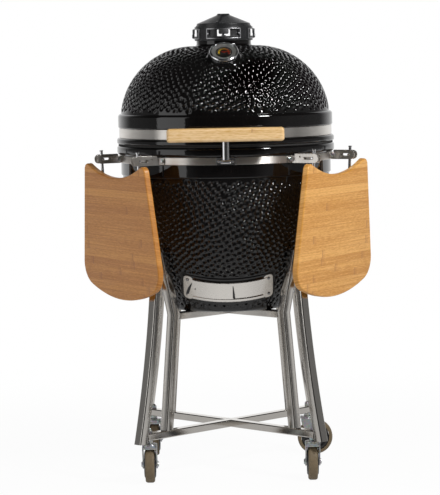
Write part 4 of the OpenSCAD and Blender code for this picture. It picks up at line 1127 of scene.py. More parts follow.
class GRILL_OT_handle(Operator):
    """Bamboo bar on two steel posts with curved feet"""
    bl_idname = "grill.handle"
    bl_label = "Handle"

    def execute(self, context):
        bar = box(HANDLE_SIZE, (0, 0, 0), HANDLE_ROUND, 6)
        grain(bar, Vector((1, 0, 0)), Vector((0, 1, 1)))
        piece("handle_bamboo", [moved(bar, at(0, HANDLE_BACK - HANDLE_SIZE[1] / 2, HANDLE_Z))], "bamboo_pale",
              "lid", "bamboo", "handle_bar")
        reach = -third_side(PAD_R, POST_X) - HANDLE_BACK - 0.0005
        flange_r = POST_R + 0.004
        post = rounded([(0, 0, 0), (flange_r, 0, 0), (flange_r, 0.003, 0.0008), (POST_R, 0.003, 0.0015),
                        (POST_R, reach - 0.0035, 0.003), (POST_R + 0.003, reach, 0), (0, reach, 0)], 4)
        parts = []
        for s in (-1, 1):
            turn = s * math.asin(POST_X / BAND_R)
            foot = pad(POST_FOOT, LID_BAND[1] - LID_BAND[0] - 0.001, 0.005, 0.0007)
            parts.append(moved(foot, at(0, 0, LID_BAND_Z), spun(turn)))
            for b in (-POST_SCREW, POST_SCREW):
                place = on_band(turn + b / BAND_R, LID_BAND_Z)
                parts.append(moved(screw_head(*POST_SCREW_HEAD), place))
            stem = at(s * POST_X, HANDLE_BACK + FIT, HANDLE_Z)
            parts.append(moved(turned(post, 36), stem, spun(-TAU / 4, "X")))
        piece("handle_mounts", parts, "chrome", "lid", "sheet_steel", "handle_posts")
        return {"FINISHED"}


class GRILL_OT_latch(Operator):
    """Half-round latch lever between two ears of its plate"""
    bl_idname = "grill.latch"
    bl_label = "Latch"

    def mount(self):
        """Plate with a raised border, two screws, two ears and the pin."""
        w, h = LATCH_PLATE
        border = plate(rect(w, h, 0.0035), PAD_T, [rect(w - 0.0045, h - 0.0045, 0.0018)])
        parts = [moved(pad(w, h, 0.0035, 0.0005, LATCH_PLATE_T), at(0, 0, BASE_BAND_Z)),
                 moved(wrapped(soften(border, 0.0004), PAD_R), at(0, 0, BASE_BAND_Z))]
        root = -PAD_R - 0.001
        ear = [(root, -LATCH_EAR_R), *arc((LATCH_Y, 0), LATCH_EAR_R, 270, 90, 10), (root, LATCH_EAR_R)]
        inside = LEVER_W / 2 + LEVER_GAP
        for s in (-1, 1):
            place = on_band(s * LATCH_SCREW / BAND_R, BASE_BAND_Z, LATCH_PLATE_T)
            parts.append(moved(screw_head(*LATCH_SCREW_HEAD), place))
            x = s * (inside + LATCH_EAR_T / 2) - LATCH_EAR_T / 2
            parts.append(moved(soften(plate(ear, LATCH_EAR_T), 0.0005), at(x, 0, LATCH_Z), SIDEWAYS))
        half = inside + LATCH_EAR_T + 0.001
        parts.append(rod((-half, LATCH_Y, LATCH_Z), (half, LATCH_Y, LATCH_Z), LATCH_PIN_R, 24, 0.0006))
        return parts

    def blade(self):
        """Bar with a bowed front, whose tip narrows to a round end."""
        edge, bevel = LEVER_W / 2 - 0.0003, 0.001
        lean = math.degrees(math.asin(edge / LEVER_BOW))
        section = arc((0, LEVER_BOW), LEVER_BOW, 270 - lean, 270 + lean, 16)
        section += [(edge, LEVER_T - bevel), (edge - bevel, LEVER_T),
                    (bevel - edge, LEVER_T), (-edge, LEVER_T - bevel)]
        length = LEVER_L - LEVER_LOW
        tip = LEVER_TIP * length
        bm = plate(section, length)
        for k in range(1, 15):
            z = length - tip * (1 - (k / 15) ** 0.6)
            bmesh.ops.bisect_plane(bm, geom=everything(bm), plane_co=(0, 0, z), plane_no=(0, 0, 1))
        for v in bm.verts:
            t = (v.co.z - length + tip) / tip
            if t > 0:
                v.co.x *= math.sqrt(max(1 - (0.93 * t) ** 2, 0))
                v.co.y += (LEVER_T - v.co.y) * 0.55 * t ** 3
        return moved(bm, at(0, -LEVER_T / 2, LEVER_LOW))

    def execute(self, context):
        piece("latch_mount", self.mount(), "chrome", "base", "sheet_steel", "latch_plate")
        eye = rod((-LEVER_W / 2, 0, 0), (LEVER_W / 2, 0, 0), LEVER_EYE_R, 32, 0.0008)
        piece("latch_bow", [moved(joined([self.blade(), eye]), at(0, LATCH_Y, LATCH_Z))], "chrome", "latch",
              "bright_trim", "latch_lever", crease=50)
        return {"FINISHED"}


class GRILL_OT_hinge(Operator):
    """Hinge at the back: two brackets on the bands, their pin and two coil springs"""
    bl_idname = "grill.hinge"
    bl_label = "Hinge"

    def coil(self):
        """Closely wound spring along Z."""
        steps = 28
        bm = bmesh.new()
        start = at(SPRING_R, 0, -SPRING_TURNS * SPRING_PITCH / 2) @ spun(TAU / 4, "X")
        bmesh.ops.create_circle(bm, cap_ends=True, segments=10, radius=SPRING_WIRE, matrix=start)
        bmesh.ops.spin(bm, geom=everything(bm), cent=(0, 0, 0), axis=(0, 0, 1), angle=TAU * SPRING_TURNS,
                       dvec=(0, 0, SPRING_PITCH / steps), steps=steps * SPRING_TURNS)
        return outward(bm)

    def execute(self, context):
        coils = [moved(self.coil(), at(x, HINGE_Y, HINGE_Z), spun(TAU / 4, "Y"))
                 for x in (-SPRING_X, SPRING_X)]
        piece("hinge_coils", coils, "tube_steel", "base", "zinc", "hinge_springs")
        for body, z in (("base", BASE_BAND_Z), ("lid", LID_BAND_Z)):
            bolts = [moved(bolt_head(*HINGE_BOLT_HEAD), on_band(math.radians(180 + turn), z))
                     for turn in HINGE_BOLTS]
            piece(f"hinge_bolts_{body}", bolts, "zinc", body, "zinc")
        repaint("sheet_steel", "hinge_base_bracket", "hinge_lid_bracket")
        repaint("zinc", "hinge_pin")
        return {"FINISHED"}


class GRILL_OT_thermometer(Operator):
    """Dial thermometer with a chromed bezel and a domed glass"""
    bl_idname = "grill.thermometer"
    bl_label = "Thermometer"

    def execute(self, context):
        top, floor, inside = CASE_Z + CASE_H, CASE_Z + CASE_FLOOR, CASE_R - 0.0015
        path = [(inside, CASE_Z, 0), (BEZEL_R, CASE_Z, 0.003), (BEZEL_R, top, 0.005), (GLASS_R, top, 0.0012),
                (GLASS_R, GLASS_Z, 0), (CASE_R, GLASS_Z, 0), (CASE_R, floor, 0), (inside, floor, 0)]
        bezel = turned(rounded(path, 7))
        tube = rod((0, 0, -PROBE_L), (0, 0, CASE_Z + 0.0074), PROBE_R, 20)
        back = disc(CASE_R - 0.001, CASE_Z, floor, 0.0004)
        nut = moved(bolt_head(*PROBE_NUT), at(0, 0, -LID_WALL - 0.0081))
        piece("thermometer_bezel", [moved(joined([bezel, tube, back, nut]), BOSS_PLACE)], "chrome", "lid",
              "bright_trim", "thermometer_case")
        ball = (GLASS_R ** 2 + GLASS_RISE ** 2) / (2 * GLASS_RISE)
        centre = (0, GLASS_EDGE + GLASS_RISE - ball)
        lean = math.degrees(math.asin((GLASS_R - 0.0001) / ball))
        dome = arc(centre, ball, 90, 90 - lean, 14) + arc(centre, ball - GLASS_T, 90 - lean, 90, 14)
        piece("thermometer_lens", [moved(turned(dome, 72), BOSS_PLACE)], "dial_glass", "lid",
              "dial_glass", "thermometer_glass")
        repaint("dial_print", "thermometer_dial")
        repaint("needle_paint", "thermometer_needle")
        return {"FINISHED"}


class GRILL_OT_vent(Operator):
    """Iron vent: a ring with four framed slots, and a turning roof with a fin"""
    bl_idname = "grill.vent"
    bl_label = "Vent"

    def windowed(self, r, low, high, half_turn, thickness):
        """Thin ring with a window at each quarter."""
        ring = turned([Vector((r, z)) for z in (low, *WINDOW_Z, high)], 180, closed=False)
        window = []
        for face in ring.faces:
            mid = face.calc_center_median()
            turn = math.atan2(mid.y, mid.x) % (TAU / 4)
            if WINDOW_Z[0] < mid.z < WINDOW_Z[1] and min(turn, TAU / 4 - turn) < half_turn:
                window.append(face)
        bmesh.ops.delete(ring, geom=window, context="FACES")
        bmesh.ops.solidify(ring, geom=ring.faces[:], thickness=thickness)
        return outward(ring)

    def slot_trim(self):
        """Frame of the front slot with a tooth at each end, a grip and a knob."""
        outside = dense(rect(SLOT_W + 2 * SLOT_BORDER, SLOT_H + 2 * SLOT_BORDER, 0.0025), 0.004)
        border = plate(outside, 0.0026, [dense(rect(SLOT_W, SLOT_H, 0.0012), 0.004)])
        parts = [wrapped(soften(border, 0.0007), TRIM_R)]
        for s in (-1, 1):
            x, root = s * SLOT_W / 2, 0.0035
            tooth = plate([(x, root), (x, -root), (x - s * 0.006, 0)], 0.003)
            parts.append(wrapped(soften(tooth, 0.0004), TRIM_R))
        grip = soften(plate(rect(*GRIP_SIZE, 0.003), GRIP_T), 0.0014, 3)
        parts.append(moved(wrapped(grip, GRIP_R), at(0, 0, 0.006)))
        knob = turned(rounded([(0, 0, 0), (KNOB_R, 0, 0), (KNOB_R, KNOB_H, 0.003), (0, KNOB_H, 0)], 6), 32)
        parts.append(moved(knob, at(0, -GRIP_R, 0.005 - SLOT_H / 2), spun(TAU / 4, "X")))
        return moved(joined(parts), at(0, 0, SLOT_Z))

    def roof(self):
        """Cone with a straight rim and a hub, and the fin that stands on it."""
        inner, hub_z = ROOF_R - ROOF_T, ROOF_TOP + 0.003
        cone = rounded([(0, ROOF_TOP - 0.006, 0), (HUB_R, ROOF_TOP - 0.006, 0), (inner, CONE_Z - ROOF_T, 0),
                        (inner, ROOF_Z, 0), (ROOF_R, ROOF_Z, 0.0008), (ROOF_R, CONE_Z, 0.0025),
                        (HUB_R + 0.002, ROOF_TOP - 0.001, 0.003), (HUB_R, hub_z, 0.002), (0, hub_z, 0)], 5)
        heel, toe, foot = ROOF_R - 0.006, ROOF_R + 0.002, ROOF_Z + 0.001
        fin = plate([(HUB_R - 0.006, ROOF_TOP - 0.002), (HUB_R - 0.002, hub_z),
                     (HUB_R + 0.008, ROOF_TOP + 0.002), (ROOF_R - 0.0135, CONE_Z + 0.008),
                     (toe, CONE_Z + 0.004), (toe, foot), (heel, foot), (heel, CONE_Z - 0.001)], FIN_T)
        fin = moved(soften(fin, 0.001), spun(FIN_TURN - TAU / 4), UPRIGHT, at(0, 0, -FIN_T / 2))
        return turned(cone, 120), fin

    def execute(self, context):
        ring = soften(self.windowed(VENT_R, *VENT_Z, WINDOW_HALF, 0.003), 0.0005)
        seat = ring_profile(FLUE_R, VENT_R - 0.0028, NECK_TOP + FIT, NECK_TOP + FIT + 0.003, 0.0006)
        piece("vent_body", [ring, turned(seat)], "cap_iron", "lid", "cap_iron", "vent_ring")
        trims = [moved(self.slot_trim(), spun(quarter * TAU / 4)) for quarter in range(4)]
        # The slot frames take the darkened trim steel: painted shade on bright trim
        piece("vent_trim", trims, "satin_trim_painted_shade", "lid", "bright_trim", "vent_frames")
        cone, fin = self.roof()
        sleeve = self.windowed(SLEEVE_R, NECK_TOP + 0.0036, ROOF_Z + 0.0028, SLEEVE_HALF, 0.002)
        flange = turned(ring_profile(ROOF_R - 0.004, SLEEVE_R, ROOF_Z, ROOF_Z + 0.003, 0.0005), 120)
        piece("vent_cap_roof", [cone, sleeve, flange, fin], "cap_iron", "vent_cap", "cap_iron", "vent_roof")
        return {"FINISHED"}


class GRILL_OT_draft_door(Operator):
    """Curved draft frame with two sliding doors"""
    bl_idname = "grill.draft_door"
    bl_label = "Draft door"

    def pull(self, x, edge, lean, tilt=0.0):
        """Finger pull bent out of the front door at x: its edge has points (out from the door, up)."""
        tab = plate([(PULL_ROOT, edge[0][1]), *edge, (PULL_ROOT, edge[-1][1])], SHEET_T)
        stand = Matrix(((0, 0, 1, 0), (-1, 0, 0, 0), (0, 1, 0, 0), (0, 0, 0, 1)))
        turn = spun(math.asin(x / DRAFT_R)) @ spun(tilt, "Y") @ spun(lean)
        place = at(x, draft_depth(FRONT_DOOR_R + SHEET_T, x), 0)
        return moved(soften(tab, 0.0003), DRAFT_PLACE, place, turn, stand)

    def leaf(self, left, right, slant=0.0, holes=()):
        """Flat door, whose left edge can lean."""
        top = DOOR_H / 2
        outline = [(left - slant, -top), (right, -top), (right, top), (left + slant, top)]
        return plate(dense([Vector(p) for p in outline], 0.01), SHEET_T, holes)

    def surround(self):
        """Sheet with an ear at each corner, and two rails with lips."""
        ear = arc((FRAME_W / 2 - 0.015, EAR_Z), EAR_R, 153, 90, 5)
        ear += arc((FRAME_W / 2 - EAR_R, EAR_Z), EAR_R, 90, 0, 7)
        outline = dense(mirrored(mirrored(ear, y=-1), x=-1), 0.006)
        way = dense(rect(DRAFT_OPEN[0] - 0.006, DRAFT_OPEN[1], 0.004), 0.006)
        parts = [bowed(plate(outline, SHEET_T, [way]), FRAME_BACK_R)]
        for s in (-1, 1):
            wall = plate(rect(RAIL_L, SHEET_T, 0.0003, 2), RAIL_T)
            parts.append(bowed(moved(wall, at(0, s * (RAIL_HALF - SHEET_T / 2), 0)), CHANNEL_R))
            lip = soften(plate(rect(RAIL_L, LIP_W, 0.001, 3), SHEET_T), 0.0003)
            parts.append(bowed(moved(lip, at(0, s * (RAIL_HALF - LIP_W / 2), 0)), LIP_R))
        return parts

    def screws(self):
        """A screw in each ear."""
        heads = []
        for z in (EAR_R - FRAME_H / 2, FRAME_H / 2 - EAR_R):
            for x in (EAR_R - FRAME_W / 2, FRAME_W / 2 - EAR_R):
                turn = spun(math.asin(x / DRAFT_R)) @ spun(TAU / 4, "X")
                place = DRAFT_PLACE @ at(x, draft_depth(CHANNEL_R, x), z) @ turn
                heads.append(moved(screw_head(*DRAFT_SCREW_HEAD), place))
        return heads

    def execute(self, context):
        # The frame and both leaves take the lightened door steel: painted sheen
        piece("draft_surround", self.surround(), "door_steel_painted_sheen", "base", "sheet_steel", "draft_frame")
        # The screw heads take the darkened trim steel: painted shade, for the shadow round them
        piece("draft_screws_painted_shade", self.screws(), "satin_trim_painted_shade", "base", "bright_trim")
        left, right = FRONT_DOOR
        middle_edge = ((0.009, -0.018), (0.009, -0.015), (0.002, 0.018), (0.001, 0.019))
        left_edge = ((0.008, -0.018), (0.009, -0.008), (0.007, 0.006), (0.002, 0.018))
        pulls = [self.pull(right - SHEET_T, middle_edge, PULL_LEAN),
                 self.pull(left + SHEET_T, left_edge, -PULL_LEAN, math.atan(2 * FRONT_DOOR_SLANT / DOOR_H))]
        # The pulls are bent out of the steel door but take the black iron finish: painted shade, for their
        # dark shaded faces
        piece("draft_pulls_painted_shade", pulls, "cap_iron", "door_left", "cap_iron")
        hole = arc((left + 0.015, 0.002), 0.002, 0, 345, 23)
        leaf = bowed(self.leaf(left, right, FRONT_DOOR_SLANT, [hole]), FRONT_DOOR_R)
        piece("draft_leaf_left", [leaf], "door_steel_painted_sheen", "door_left", "sheet_steel", "draft_door_left")
        leaf = bowed(self.leaf(*REAR_DOOR), REAR_DOOR_R)
        piece("draft_leaf_right", [leaf], "door_steel_painted_sheen", "door_right", "sheet_steel", "draft_door_right")
        return {"FINISHED"}


class GRILL_OT_stand(Operator):
    """Tube stand: four bowed outer legs, four inner legs that cradle the bowl, and two crosses"""
    bl_idname = "grill.stand"
    bl_label = "Stand"

    def tube(self, stations):
        """Square tube with round edges through (point, cut normal) stations, in the plane of a radius."""
        bm = bmesh.new()
        section = []
        for p in dense(rect(TUBE_W, TUBE_W, TUBE_ROUND, 4), 0.004):
            side, along = (0, 1) if abs(p.x) > abs(p.y) else (1, 0)
            p[side] += math.copysign(TUBE_CROWN * (1 - (2 * p[along] / TUBE_W) ** 2), p[side])
            section.append(p)
        rings = []
        for k, (point, normal) in enumerate(stations):
            ahead = (stations[max(k, 1)][0] - stations[max(k, 1) - 1][0]).normalized()
            out = Vector((ahead.z, 0, -ahead.x))
            ring = [point + out * p.x + Vector((0, p.y, 0)) for p in section]
            rings.append(loop(bm, [q - ahead * (q - point).dot(normal) / ahead.dot(normal) for q in ring]))
        for a, b in zip(rings, rings[1:]):
            bmesh.ops.bridge_loops(bm, edges=a + b)
        for ring in (rings[0], rings[-1]):
            bmesh.ops.contextual_create(bm, geom=ring)
        return outward(bm)

    def bowed_leg(self):
        """Stations along the arc of an outer leg, whose ends are level."""
        chord = OUTER_TOP - OUTER_FOOT
        rise = third_side(LEG_BOW, chord.length / 2)
        hub = (OUTER_FOOT + OUTER_TOP) / 2 + Vector((chord.z, 0, -chord.x)).normalized() * rise
        stations = []
        for k in range(LEG_STEPS + 1):
            out = (OUTER_FOOT + chord * k / LEG_STEPS - hub).normalized()
            along = out.cross(Vector((0, 1, 0))).normalized()
            stations.append((hub + out * LEG_BOW, VERTICAL if k in (0, LEG_STEPS) else along))
        return stations

    def cross(self, z, reach):
        """One long bar, and two short ones that meet it in the middle."""
        bars = []
        for degrees, start in ((45, -reach), (135, BAR_W / 2 - 0.001), (315, BAR_W / 2 - 0.001)):
            bar = plate(rect(BAR_W, BAR_H, TUBE_ROUND, 4), reach - start)
            bars.append(moved(bar, spun(math.radians(degrees)), at(start, 0, z + BAR_H / 2), SIDEWAYS))
        return bars

    def execute(self, context):
        up, lean = (KNEE - INNER_FOOT).normalized(), (CRADLE_TOP - KNEE).normalized()
        weld = KNEE + Vector((lean.z, 0, -lean.x)) * TUBE_W / 2
        for corner, degrees in CORNER_TURN.items():
            turn = spun(math.radians(degrees))
            inner = self.tube([(INNER_FOOT, VERTICAL), (KNEE, (up + lean).normalized()),
                               (CRADLE_TOP, VERTICAL)])
            piece(f"inner_tube_{corner}", [moved(inner, turn)], "tube_steel", "base", "tube_steel",
                  f"inner_leg_{corner}")
            outer = self.tube(self.bowed_leg())
            bmesh.ops.bisect_plane(outer, geom=everything(outer), plane_co=weld,
                                   plane_no=Vector((-lean.z, 0, lean.x)), clear_outer=True)
            bmesh.ops.holes_fill(outer, edges=[e for e in outer.edges if e.is_boundary], sides=0)
            piece(f"outer_tube_{corner}", [moved(outward(outer), turn)], "tube_steel", "base", "tube_steel",
                  f"outer_leg_{corner}")
        crosses = (("lower_cross", BAR_Z, LOWER_REACH), ("upper_cross", UPPER_BAR_Z, UPPER_REACH))
        for name, z, reach in crosses:
            piece(f"{name}_bars", self.cross(z, reach), "tube_steel", "base", "tube_steel", name)
        return {"FINISHED"}


class GRILL_OT_casters(Operator):
    """Four swivel casters with round treads, hub covers and zinc forks"""
    bl_idname = "grill.casters"
    bl_label = "Casters"

    def fork(self):
        """Swivel head, two cheeks with the bolt heads of the axle, and a bridge between them."""
        cap_r = HEAD_R + 0.0005
        head = rounded([(STEM_R, HEAD_Z, 0), (HEAD_R, HEAD_Z, 0.001), (HEAD_R, HEAD_Z + 0.003, 0.0012),
                        (HEAD_R - 0.0013, HEAD_Z + 0.0038, 0), (cap_r, HEAD_Z + 0.0046, 0.0012),
                        (cap_r, CASTER_H - 0.001, 0.0025), (0.0135, CASTER_H, 0.001),
                        (STEM_R, CASTER_H, 0)], 4)
        top, waist = HEAD_Z + 0.001, HEAD_Z - 0.012
        cheek = [(-0.0165, top), (-0.0168, waist), *arc((TRAIL, AXLE_Z), FORK_END_R, 205, 378, 16),
                 (0.0135, waist), (0.0130, top)]
        parts = [turned(head, 48)]
        for s in (-1, 1):
            side = soften(plate(cheek, FORK_T), 0.0007)
            parts.append(moved(side, at(s * (FORK_IN + FORK_T / 2) - FORK_T / 2, 0, 0), SIDEWAYS))
            place = at(s * (FORK_IN + FORK_T), TRAIL, AXLE_Z) @ spun(s * TAU / 4, "Y")
            parts.append(moved(bolt_head(*AXLE_BOLT_HEAD), place))
        parts.append(box((2 * FORK_IN + FORK_T, 0.0115, 0.0075), (0, -0.01025, HEAD_Z - 0.0032), 0.0008))
        parts.append(rod((-AXLE_L / 2, TRAIL, AXLE_Z), (AXLE_L / 2, TRAIL, AXLE_Z), AXLE_R, 20))
        return joined(parts)

    def core(self):
        """Hub with a raised boss and a raised rim on both sides."""
        cover = rounded([(AXLE_R, 0.0135, 0), (0.011, 0.0150, 0.001), (0.011, 0.0155, 0.0004),
                         (0.014, 0.0155, 0.0006), (0.015, 0.0130, 0.001), (0.028, 0.0122, 0.001),
                         (0.030, 0.0150, 0.0012), (0.0335, 0.0155, 0.001), (0.038, 0.0125, 0.0015),
                         (0.0396, 0.0095, 0)], 3)
        return turned(mirrored(cover, y=-1), 64)

    def tread(self):
        """Tread with round shoulders."""
        half, flat, shoulder = TREAD_HALF, TREAD_HALF - 0.005, WHEEL_R - 0.003
        path = [(TREAD_IN, -half, 0), (shoulder, -half, 0.003), (WHEEL_R, -flat, 0.004),
                (WHEEL_R, flat, 0.004), (shoulder, half, 0.003), (TREAD_IN, half, 0)]
        return turned(rounded(path, 5))

    def execute(self, context):
        for corner, degrees in CORNER_TURN.items():
            turn = math.radians(degrees)
            aim = -TAU / 4 if corner == "rear_right" else 0.0
            place = at(CASTER_R * math.cos(turn), CASTER_R * math.sin(turn), 0) @ spun(aim)
            axle = place @ at(0, TRAIL, AXLE_Z) @ spun(TAU / 4, "Y")
            piece(f"caster_yoke_{corner}", [moved(self.fork(), place)], "zinc", f"fork_{corner}", "zinc",
                  f"caster_fork_{corner}")
            piece(f"wheel_hub_{corner}", [moved(self.core(), axle)], "hub_plastic", f"wheel_{corner}",
                  "hub_plastic", f"wheel_core_{corner}")
            piece(f"wheel_tyre_{corner}", [moved(self.tread(), axle)], "tread_rubber", f"wheel_{corner}",
                  "tread_rubber", f"wheel_tread_{corner}")
        repaint("zinc", "caster_stems")
        return {"FINISHED"}


class GRILL_OT_shelves(Operator):
    """Two folding bamboo shelves on steel rods, hung from slotted arms"""
    bl_idname = "grill.shelves"
    bl_label = "Shelves"

    def board_outline(self):
        """Half of the board is worked out and mirrored: v goes across, h goes down from the pins."""
        hollow = Vector((0, HORN.y - third_side(HOLLOW_R + HORN_R, HORN.x)))
        out = Vector((math.cos(BOARD_SPREAD), -math.sin(BOARD_SPREAD)))
        down = Vector((math.sin(BOARD_SPREAD), math.cos(BOARD_SPREAD)))
        lower = Vector((0, BOARD_DROP - LOWER_R))
        start = HORN + out * (HORN_R - BOARD_CORNER_R) - lower
        inner = LOWER_R - BOARD_CORNER_R
        run = math.sqrt(start.dot(down) ** 2 - start.dot(start) + inner ** 2) - start.dot(down)
        corner = lower + start + down * run

        def angle(v):
            return math.degrees(math.atan2(v.y, v.x))

        to_horn = angle(HORN - hollow)
        half = arc(hollow, HOLLOW_R, 90, to_horn, 24)
        half += arc(HORN, HORN_R, to_horn - 180, angle(out), 10)[1:]
        half += arc(corner, BOARD_CORNER_R, angle(out), angle(corner - lower), 14)
        half += arc(lower, LOWER_R, angle(corner - lower), 90, 20)[1:]
        return half + [Vector((-p.x, p.y)) for p in reversed(half[1:-1])]

    def arm(self, v):
        """Two slotted cheeks on a curved flange."""
        slot = arc((PIN_U - ARM_SLOT_L, 0), ARM_SLOT_R, 270, 90, 8) + arc((PIN_U, 0), ARM_SLOT_R, 90, -90, 8)
        hole = arc((PIN_U - 0.036, 0.004), 0.0022, 0, 342, 18)
        parts = []
        for c in (-1, 1):
            y = v + c * (ARM_GAP + CHEEK_T) / 2
            root = third_side(PAD_R + 0.001, y)
            notch = third_side(RIM_R + 0.001, y) + 0.0005
            cheek = [(root, -ARM_H / 2), *arc((ARM_END, 0), ARM_H / 2, -90, 90, 16), (notch, ARM_H / 2),
                     (notch, 0.006), (root, 0.006)]
            side = soften(plate(cheek, CHEEK_T, [slot, hole]), 0.0005)
            parts.append(moved(side, at(0, y + CHEEK_T / 2, PIN_Z), UPRIGHT))
        flange = pad(*ARM_FLANGE, 0.004, 0.0006)
        parts.append(moved(flange, spun(math.asin(v / BAND_R) + TAU / 4), at(0, 0, BASE_BAND_Z)))
        return joined(parts)

    def bolts(self):
        """Two bolts on the flange of each arm."""
        heads = []
        for v in (-ROD_V, ROD_V):
            for b in (-ARM_BOLT, ARM_BOLT):
                turn = math.asin(v / BAND_R) + b / BAND_R + TAU / 4
                heads.append(moved(bolt_head(*ARM_BOLT_HEAD), on_band(turn, BASE_BAND_Z, PAD_T + FIT)))
        return joined(heads)

    def rods(self):
        """Two rods with their cross pins, and the clips that hold them on the board."""
        parts = []
        half = ARM_GAP / 2 + CHEEK_T + 0.002
        for v in (-ROD_V, ROD_V):
            parts += [rod((0, v, -ROD_L), (0, v, ROD_TOP), ROD_R, 24, 0.0012),
                      rod((0, v, ROD_TOP - 0.0035), (0, v, ROD_TOP), ROD_R + 0.00125, 24, 0.0012),
                      rod((0, v - half, 0), (0, v + half, 0), PIN_R, 20, 0.0007)]
            for z in (0.024 - ROD_L, 0.030 - ROD_L / 2):
                middle_z = z + CLIP_SIZE[2] / 2
                parts += [rod((-0.0017, v, z), (-0.0017, v, z + CLIP_SIZE[2]), ROD_R + 0.0015, 28, 0.0008),
                          box(CLIP_SIZE, (0.0029, v, middle_z), 0.0006)]
                for y in (v - CLIP_SCREW, v + CLIP_SCREW):
                    place = at(0.00165, y, middle_z) @ spun(-TAU / 4, "Y")
                    parts.append(moved(screw_head(*CLIP_SCREW_HEAD), place))
        return joined(parts)

    def execute(self, context):
        lay = Matrix(((0, 0, 1, ROD_R + FIT), (1, 0, 0, 0), (0, -1, 0, 0), (0, 0, 0, 1)))
        for side, s, wood in (("left", -1, "bamboo_tan"), ("right", 1, "bamboo_gold")):
            swing = Matrix.Diagonal((s, 1, 1, 1)) @ spun(SHELF_TURN - TAU / 4)
            hang = swing @ at(PIN_U, 0, PIN_Z) @ spun(HANG_LEAN, "Y")
            board = soften(plate(self.board_outline(), BOARD_T), BOARD_ROUND, 4)
            grain(board, Vector((1, 0, 0)), Vector((0, 1, 0.3)))
            piece(f"shelf_{side}_bamboo", [moved(board, hang @ lay)], wood, f"shelf_{side}", "bamboo",
                  f"shelf_board_{side}")
            piece(f"shelf_{side}_rods", [moved(self.rods(), hang)], "chrome", f"shelf_{side}", "sheet_steel",
                  f"shelf_rods_{side}")
            for end, v in (("front", -ROD_V), ("rear", ROD_V)):
                piece(f"arm_{side}_{end}", [moved(self.arm(v), swing)], "sheet_steel", "base", "sheet_steel",
                      f"shelf_arm_{side}_{end}")
            piece(f"arm_bolts_{side}", [moved(self.bolts(), swing)], "zinc", "base", "zinc",
                  "shelf_arm_bolts")
        return {"FINISHED"}


class GRILL_OT_inside(Operator):
    """Finishes of the fire box, fire ring and the two grates"""
    bl_idname = "grill.inside"
    bl_label = "Inside"

    def execute(self, context):
        repaint("fire_clay", "fire_box", "fire_ring")
        repaint("grate_iron", "charcoal_grate")
        repaint("grate_steel", "cooking_grate")
        return {"FINISHED"}


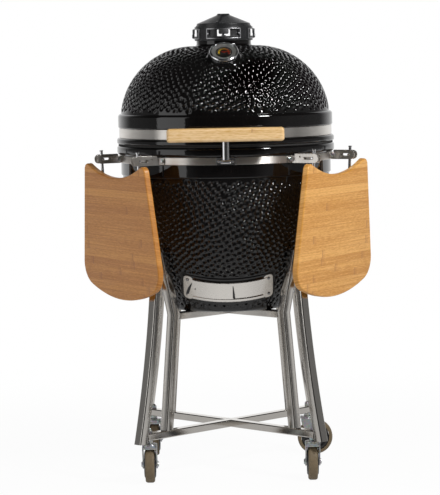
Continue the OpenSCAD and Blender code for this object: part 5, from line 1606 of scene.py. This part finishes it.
class GRILL_OT_stage(Operator):
    """White floor, studio light and the camera"""
    bl_idname = "grill.stage"
    bl_label = "Stage"

    def rays(self, f):
        """1 for what the camera sees directly, and 1 for what it sees in a mirror or through glass."""
        path = f.tree.nodes.new("ShaderNodeLightPath")
        camera, glossy, glass = (Value(f, path.outputs[k])
                                 for k in ("Is Camera Ray", "Is Glossy Ray", "Is Transmission Ray"))
        return camera, glossy.math("MAXIMUM", glossy, glass)

    def floor(self):
        """Pale floor: the camera sees it white, and a mirror dark in front and in strips at the sides."""
        f = Finish("white_floor")
        f.tree.nodes.remove(f.shader)
        x, y, _ = f.axes()
        far = f.length(x, y)
        camera, mirror = self.rays(f)
        plain = f.add("ShaderNodeBsdfDiffuse", None, {"Color": (0.82, 0.82, 0.81, 1.0)})
        aside = (x.absolute() / far).ramp(0.45, 0.8)
        gone = far.ramp(0.6, 1.35) * (1 - aside) + far.ramp(1.5, 2.8) * aside
        wave = x.math("SINE", y / x.absolute() * 17.0 + 1.2) * 0.5 + 0.5
        strips = wave * wave * far.ramp(6.0, 9.0, 0.72, 0.0) + far.ramp(6.0, 9.0, 0.0, 0.16)
        near = (1 - gone) * (0.68 - aside * 0.13) + gone * (aside * strips + 0.05)
        level = camera + (1 - camera) * near.math("MAXIMUM", near, y.ramp(0.2, 1.6))
        white = f.add("ShaderNodeEmission", None, {"Strength": level})
        seen = camera.math("MAXIMUM", camera, mirror) * far.ramp(0.7, 2.2, 0.96, 1.0)
        mixed = f.add("ShaderNodeMixShader", None, {0: seen, 1: plain, 2: white})
        f.tree.links.new(mixed.socket, f.tree.nodes["Material Output"].inputs["Surface"])
        bm = bmesh.new()
        bmesh.ops.create_grid(bm, x_segments=1, y_segments=1, size=FLOOR_HALF)
        mesh = meshed("floor", bm)
        mesh.materials.append(f.material)
        floor = linked("floor", mesh)

    def world(self, ambient):
        """Soft light from all round: the camera sees white, and a mirror a dim room with one white wall."""
        world = bpy.data.worlds.new("studio")
        world.use_nodes = True
        bpy.context.scene.world = world
        f = Finish.__new__(Finish)
        f.tree = world.node_tree
        x, y, z = f.axes(f.add("ShaderNodeTexCoord", out="Generated"))
        camera, mirror = self.rays(f)
        side = x.absolute().ramp(0.5, 0.95, 0.0, 0.16) * z.ramp(0.45, 0.10)
        room = y.ramp(0.50, 0.92) * z.ramp(0.80, 0.40) * 0.95 + side + 0.02
        strength = camera + (1 - camera) * (mirror * room + (1 - mirror) * ambient)
        shell = f.tree.nodes["Background"]
        f.tree.links.new(strength.socket, shell.inputs["Strength"])
        shell.inputs["Color"].default_value = (1.0, 1.0, 1.0, 1.0)

    def lamp(self, name, place, size, power):
        data = bpy.data.lights.new(name, "AREA")
        data.shape = "RECTANGLE"
        data.size, data.size_y = size
        data.energy = power
        lamp = linked(name, data)
        lamp.location = place
        lamp.rotation_euler = (Vector(LIT_PLACE) - Vector(place)).to_track_quat("-Z", "Y").to_euler()

    def execute(self, context):
        stage = context.scene.grill_stage
        context.scene.view_settings.view_transform = "Standard"
        self.floor()
        self.world(stage.ambient)
        self.lamp("panel", PANEL_PLACE, PANEL_SIZE, stage.panel_power)
        self.lamp("lamp", LAMP_PLACE, LAMP_SIZE, stage.lamp_power)
        data = bpy.data.cameras.new("camera")
        data.lens = stage.lens
        data.sensor_width = SENSOR_W
        camera = linked("camera", data)
        look = spun(stage.yaw) @ spun(TAU / 4 - stage.pitch, "X") @ spun(-stage.roll)
        camera.matrix_world = at(0, -stage.eye_distance, stage.eye_height) @ look
        context.scene.camera = camera
        return {"FINISHED"}


class GRILL_PT_sidebar(Panel):
    """Lists the grill's pieces and finishes"""
    bl_label = "Kamado Grill"
    bl_space_type = "VIEW_3D"
    bl_region_type = "UI"
    bl_category = "Grill"

    def draw(self, context):
        for operator in OPERATORS:
            self.layout.operator(operator.bl_idname)
        for group in (context.scene.grill_finish, context.scene.grill_stage):
            for key in group.__annotations__:
                self.layout.prop(group, key)


OPERATORS = (GRILL_OT_stage, GRILL_OT_bowl, GRILL_OT_lid, GRILL_OT_bands, GRILL_OT_handle, GRILL_OT_latch,
             GRILL_OT_hinge, GRILL_OT_thermometer, GRILL_OT_vent, GRILL_OT_draft_door, GRILL_OT_stand,
             GRILL_OT_casters, GRILL_OT_shelves, GRILL_OT_inside)
CLASSES = (GrillFinish, GrillStage, *OPERATORS, GRILL_PT_sidebar)


def register():
    for cls in CLASSES:
        bpy.utils.register_class(cls)
    bpy.types.Scene.grill_finish = PointerProperty(type=GrillFinish)
    bpy.types.Scene.grill_stage = PointerProperty(type=GrillStage)


def unregister():
    del bpy.types.Scene.grill_stage
    del bpy.types.Scene.grill_finish
    for cls in reversed(CLASSES):
        bpy.utils.unregister_class(cls)


def main():
    register()
    for operator in OPERATORS:
        group, name = operator.bl_idname.split(".")
        getattr(getattr(bpy.ops, group), name)()


if __name__ == "__main__":
    main()
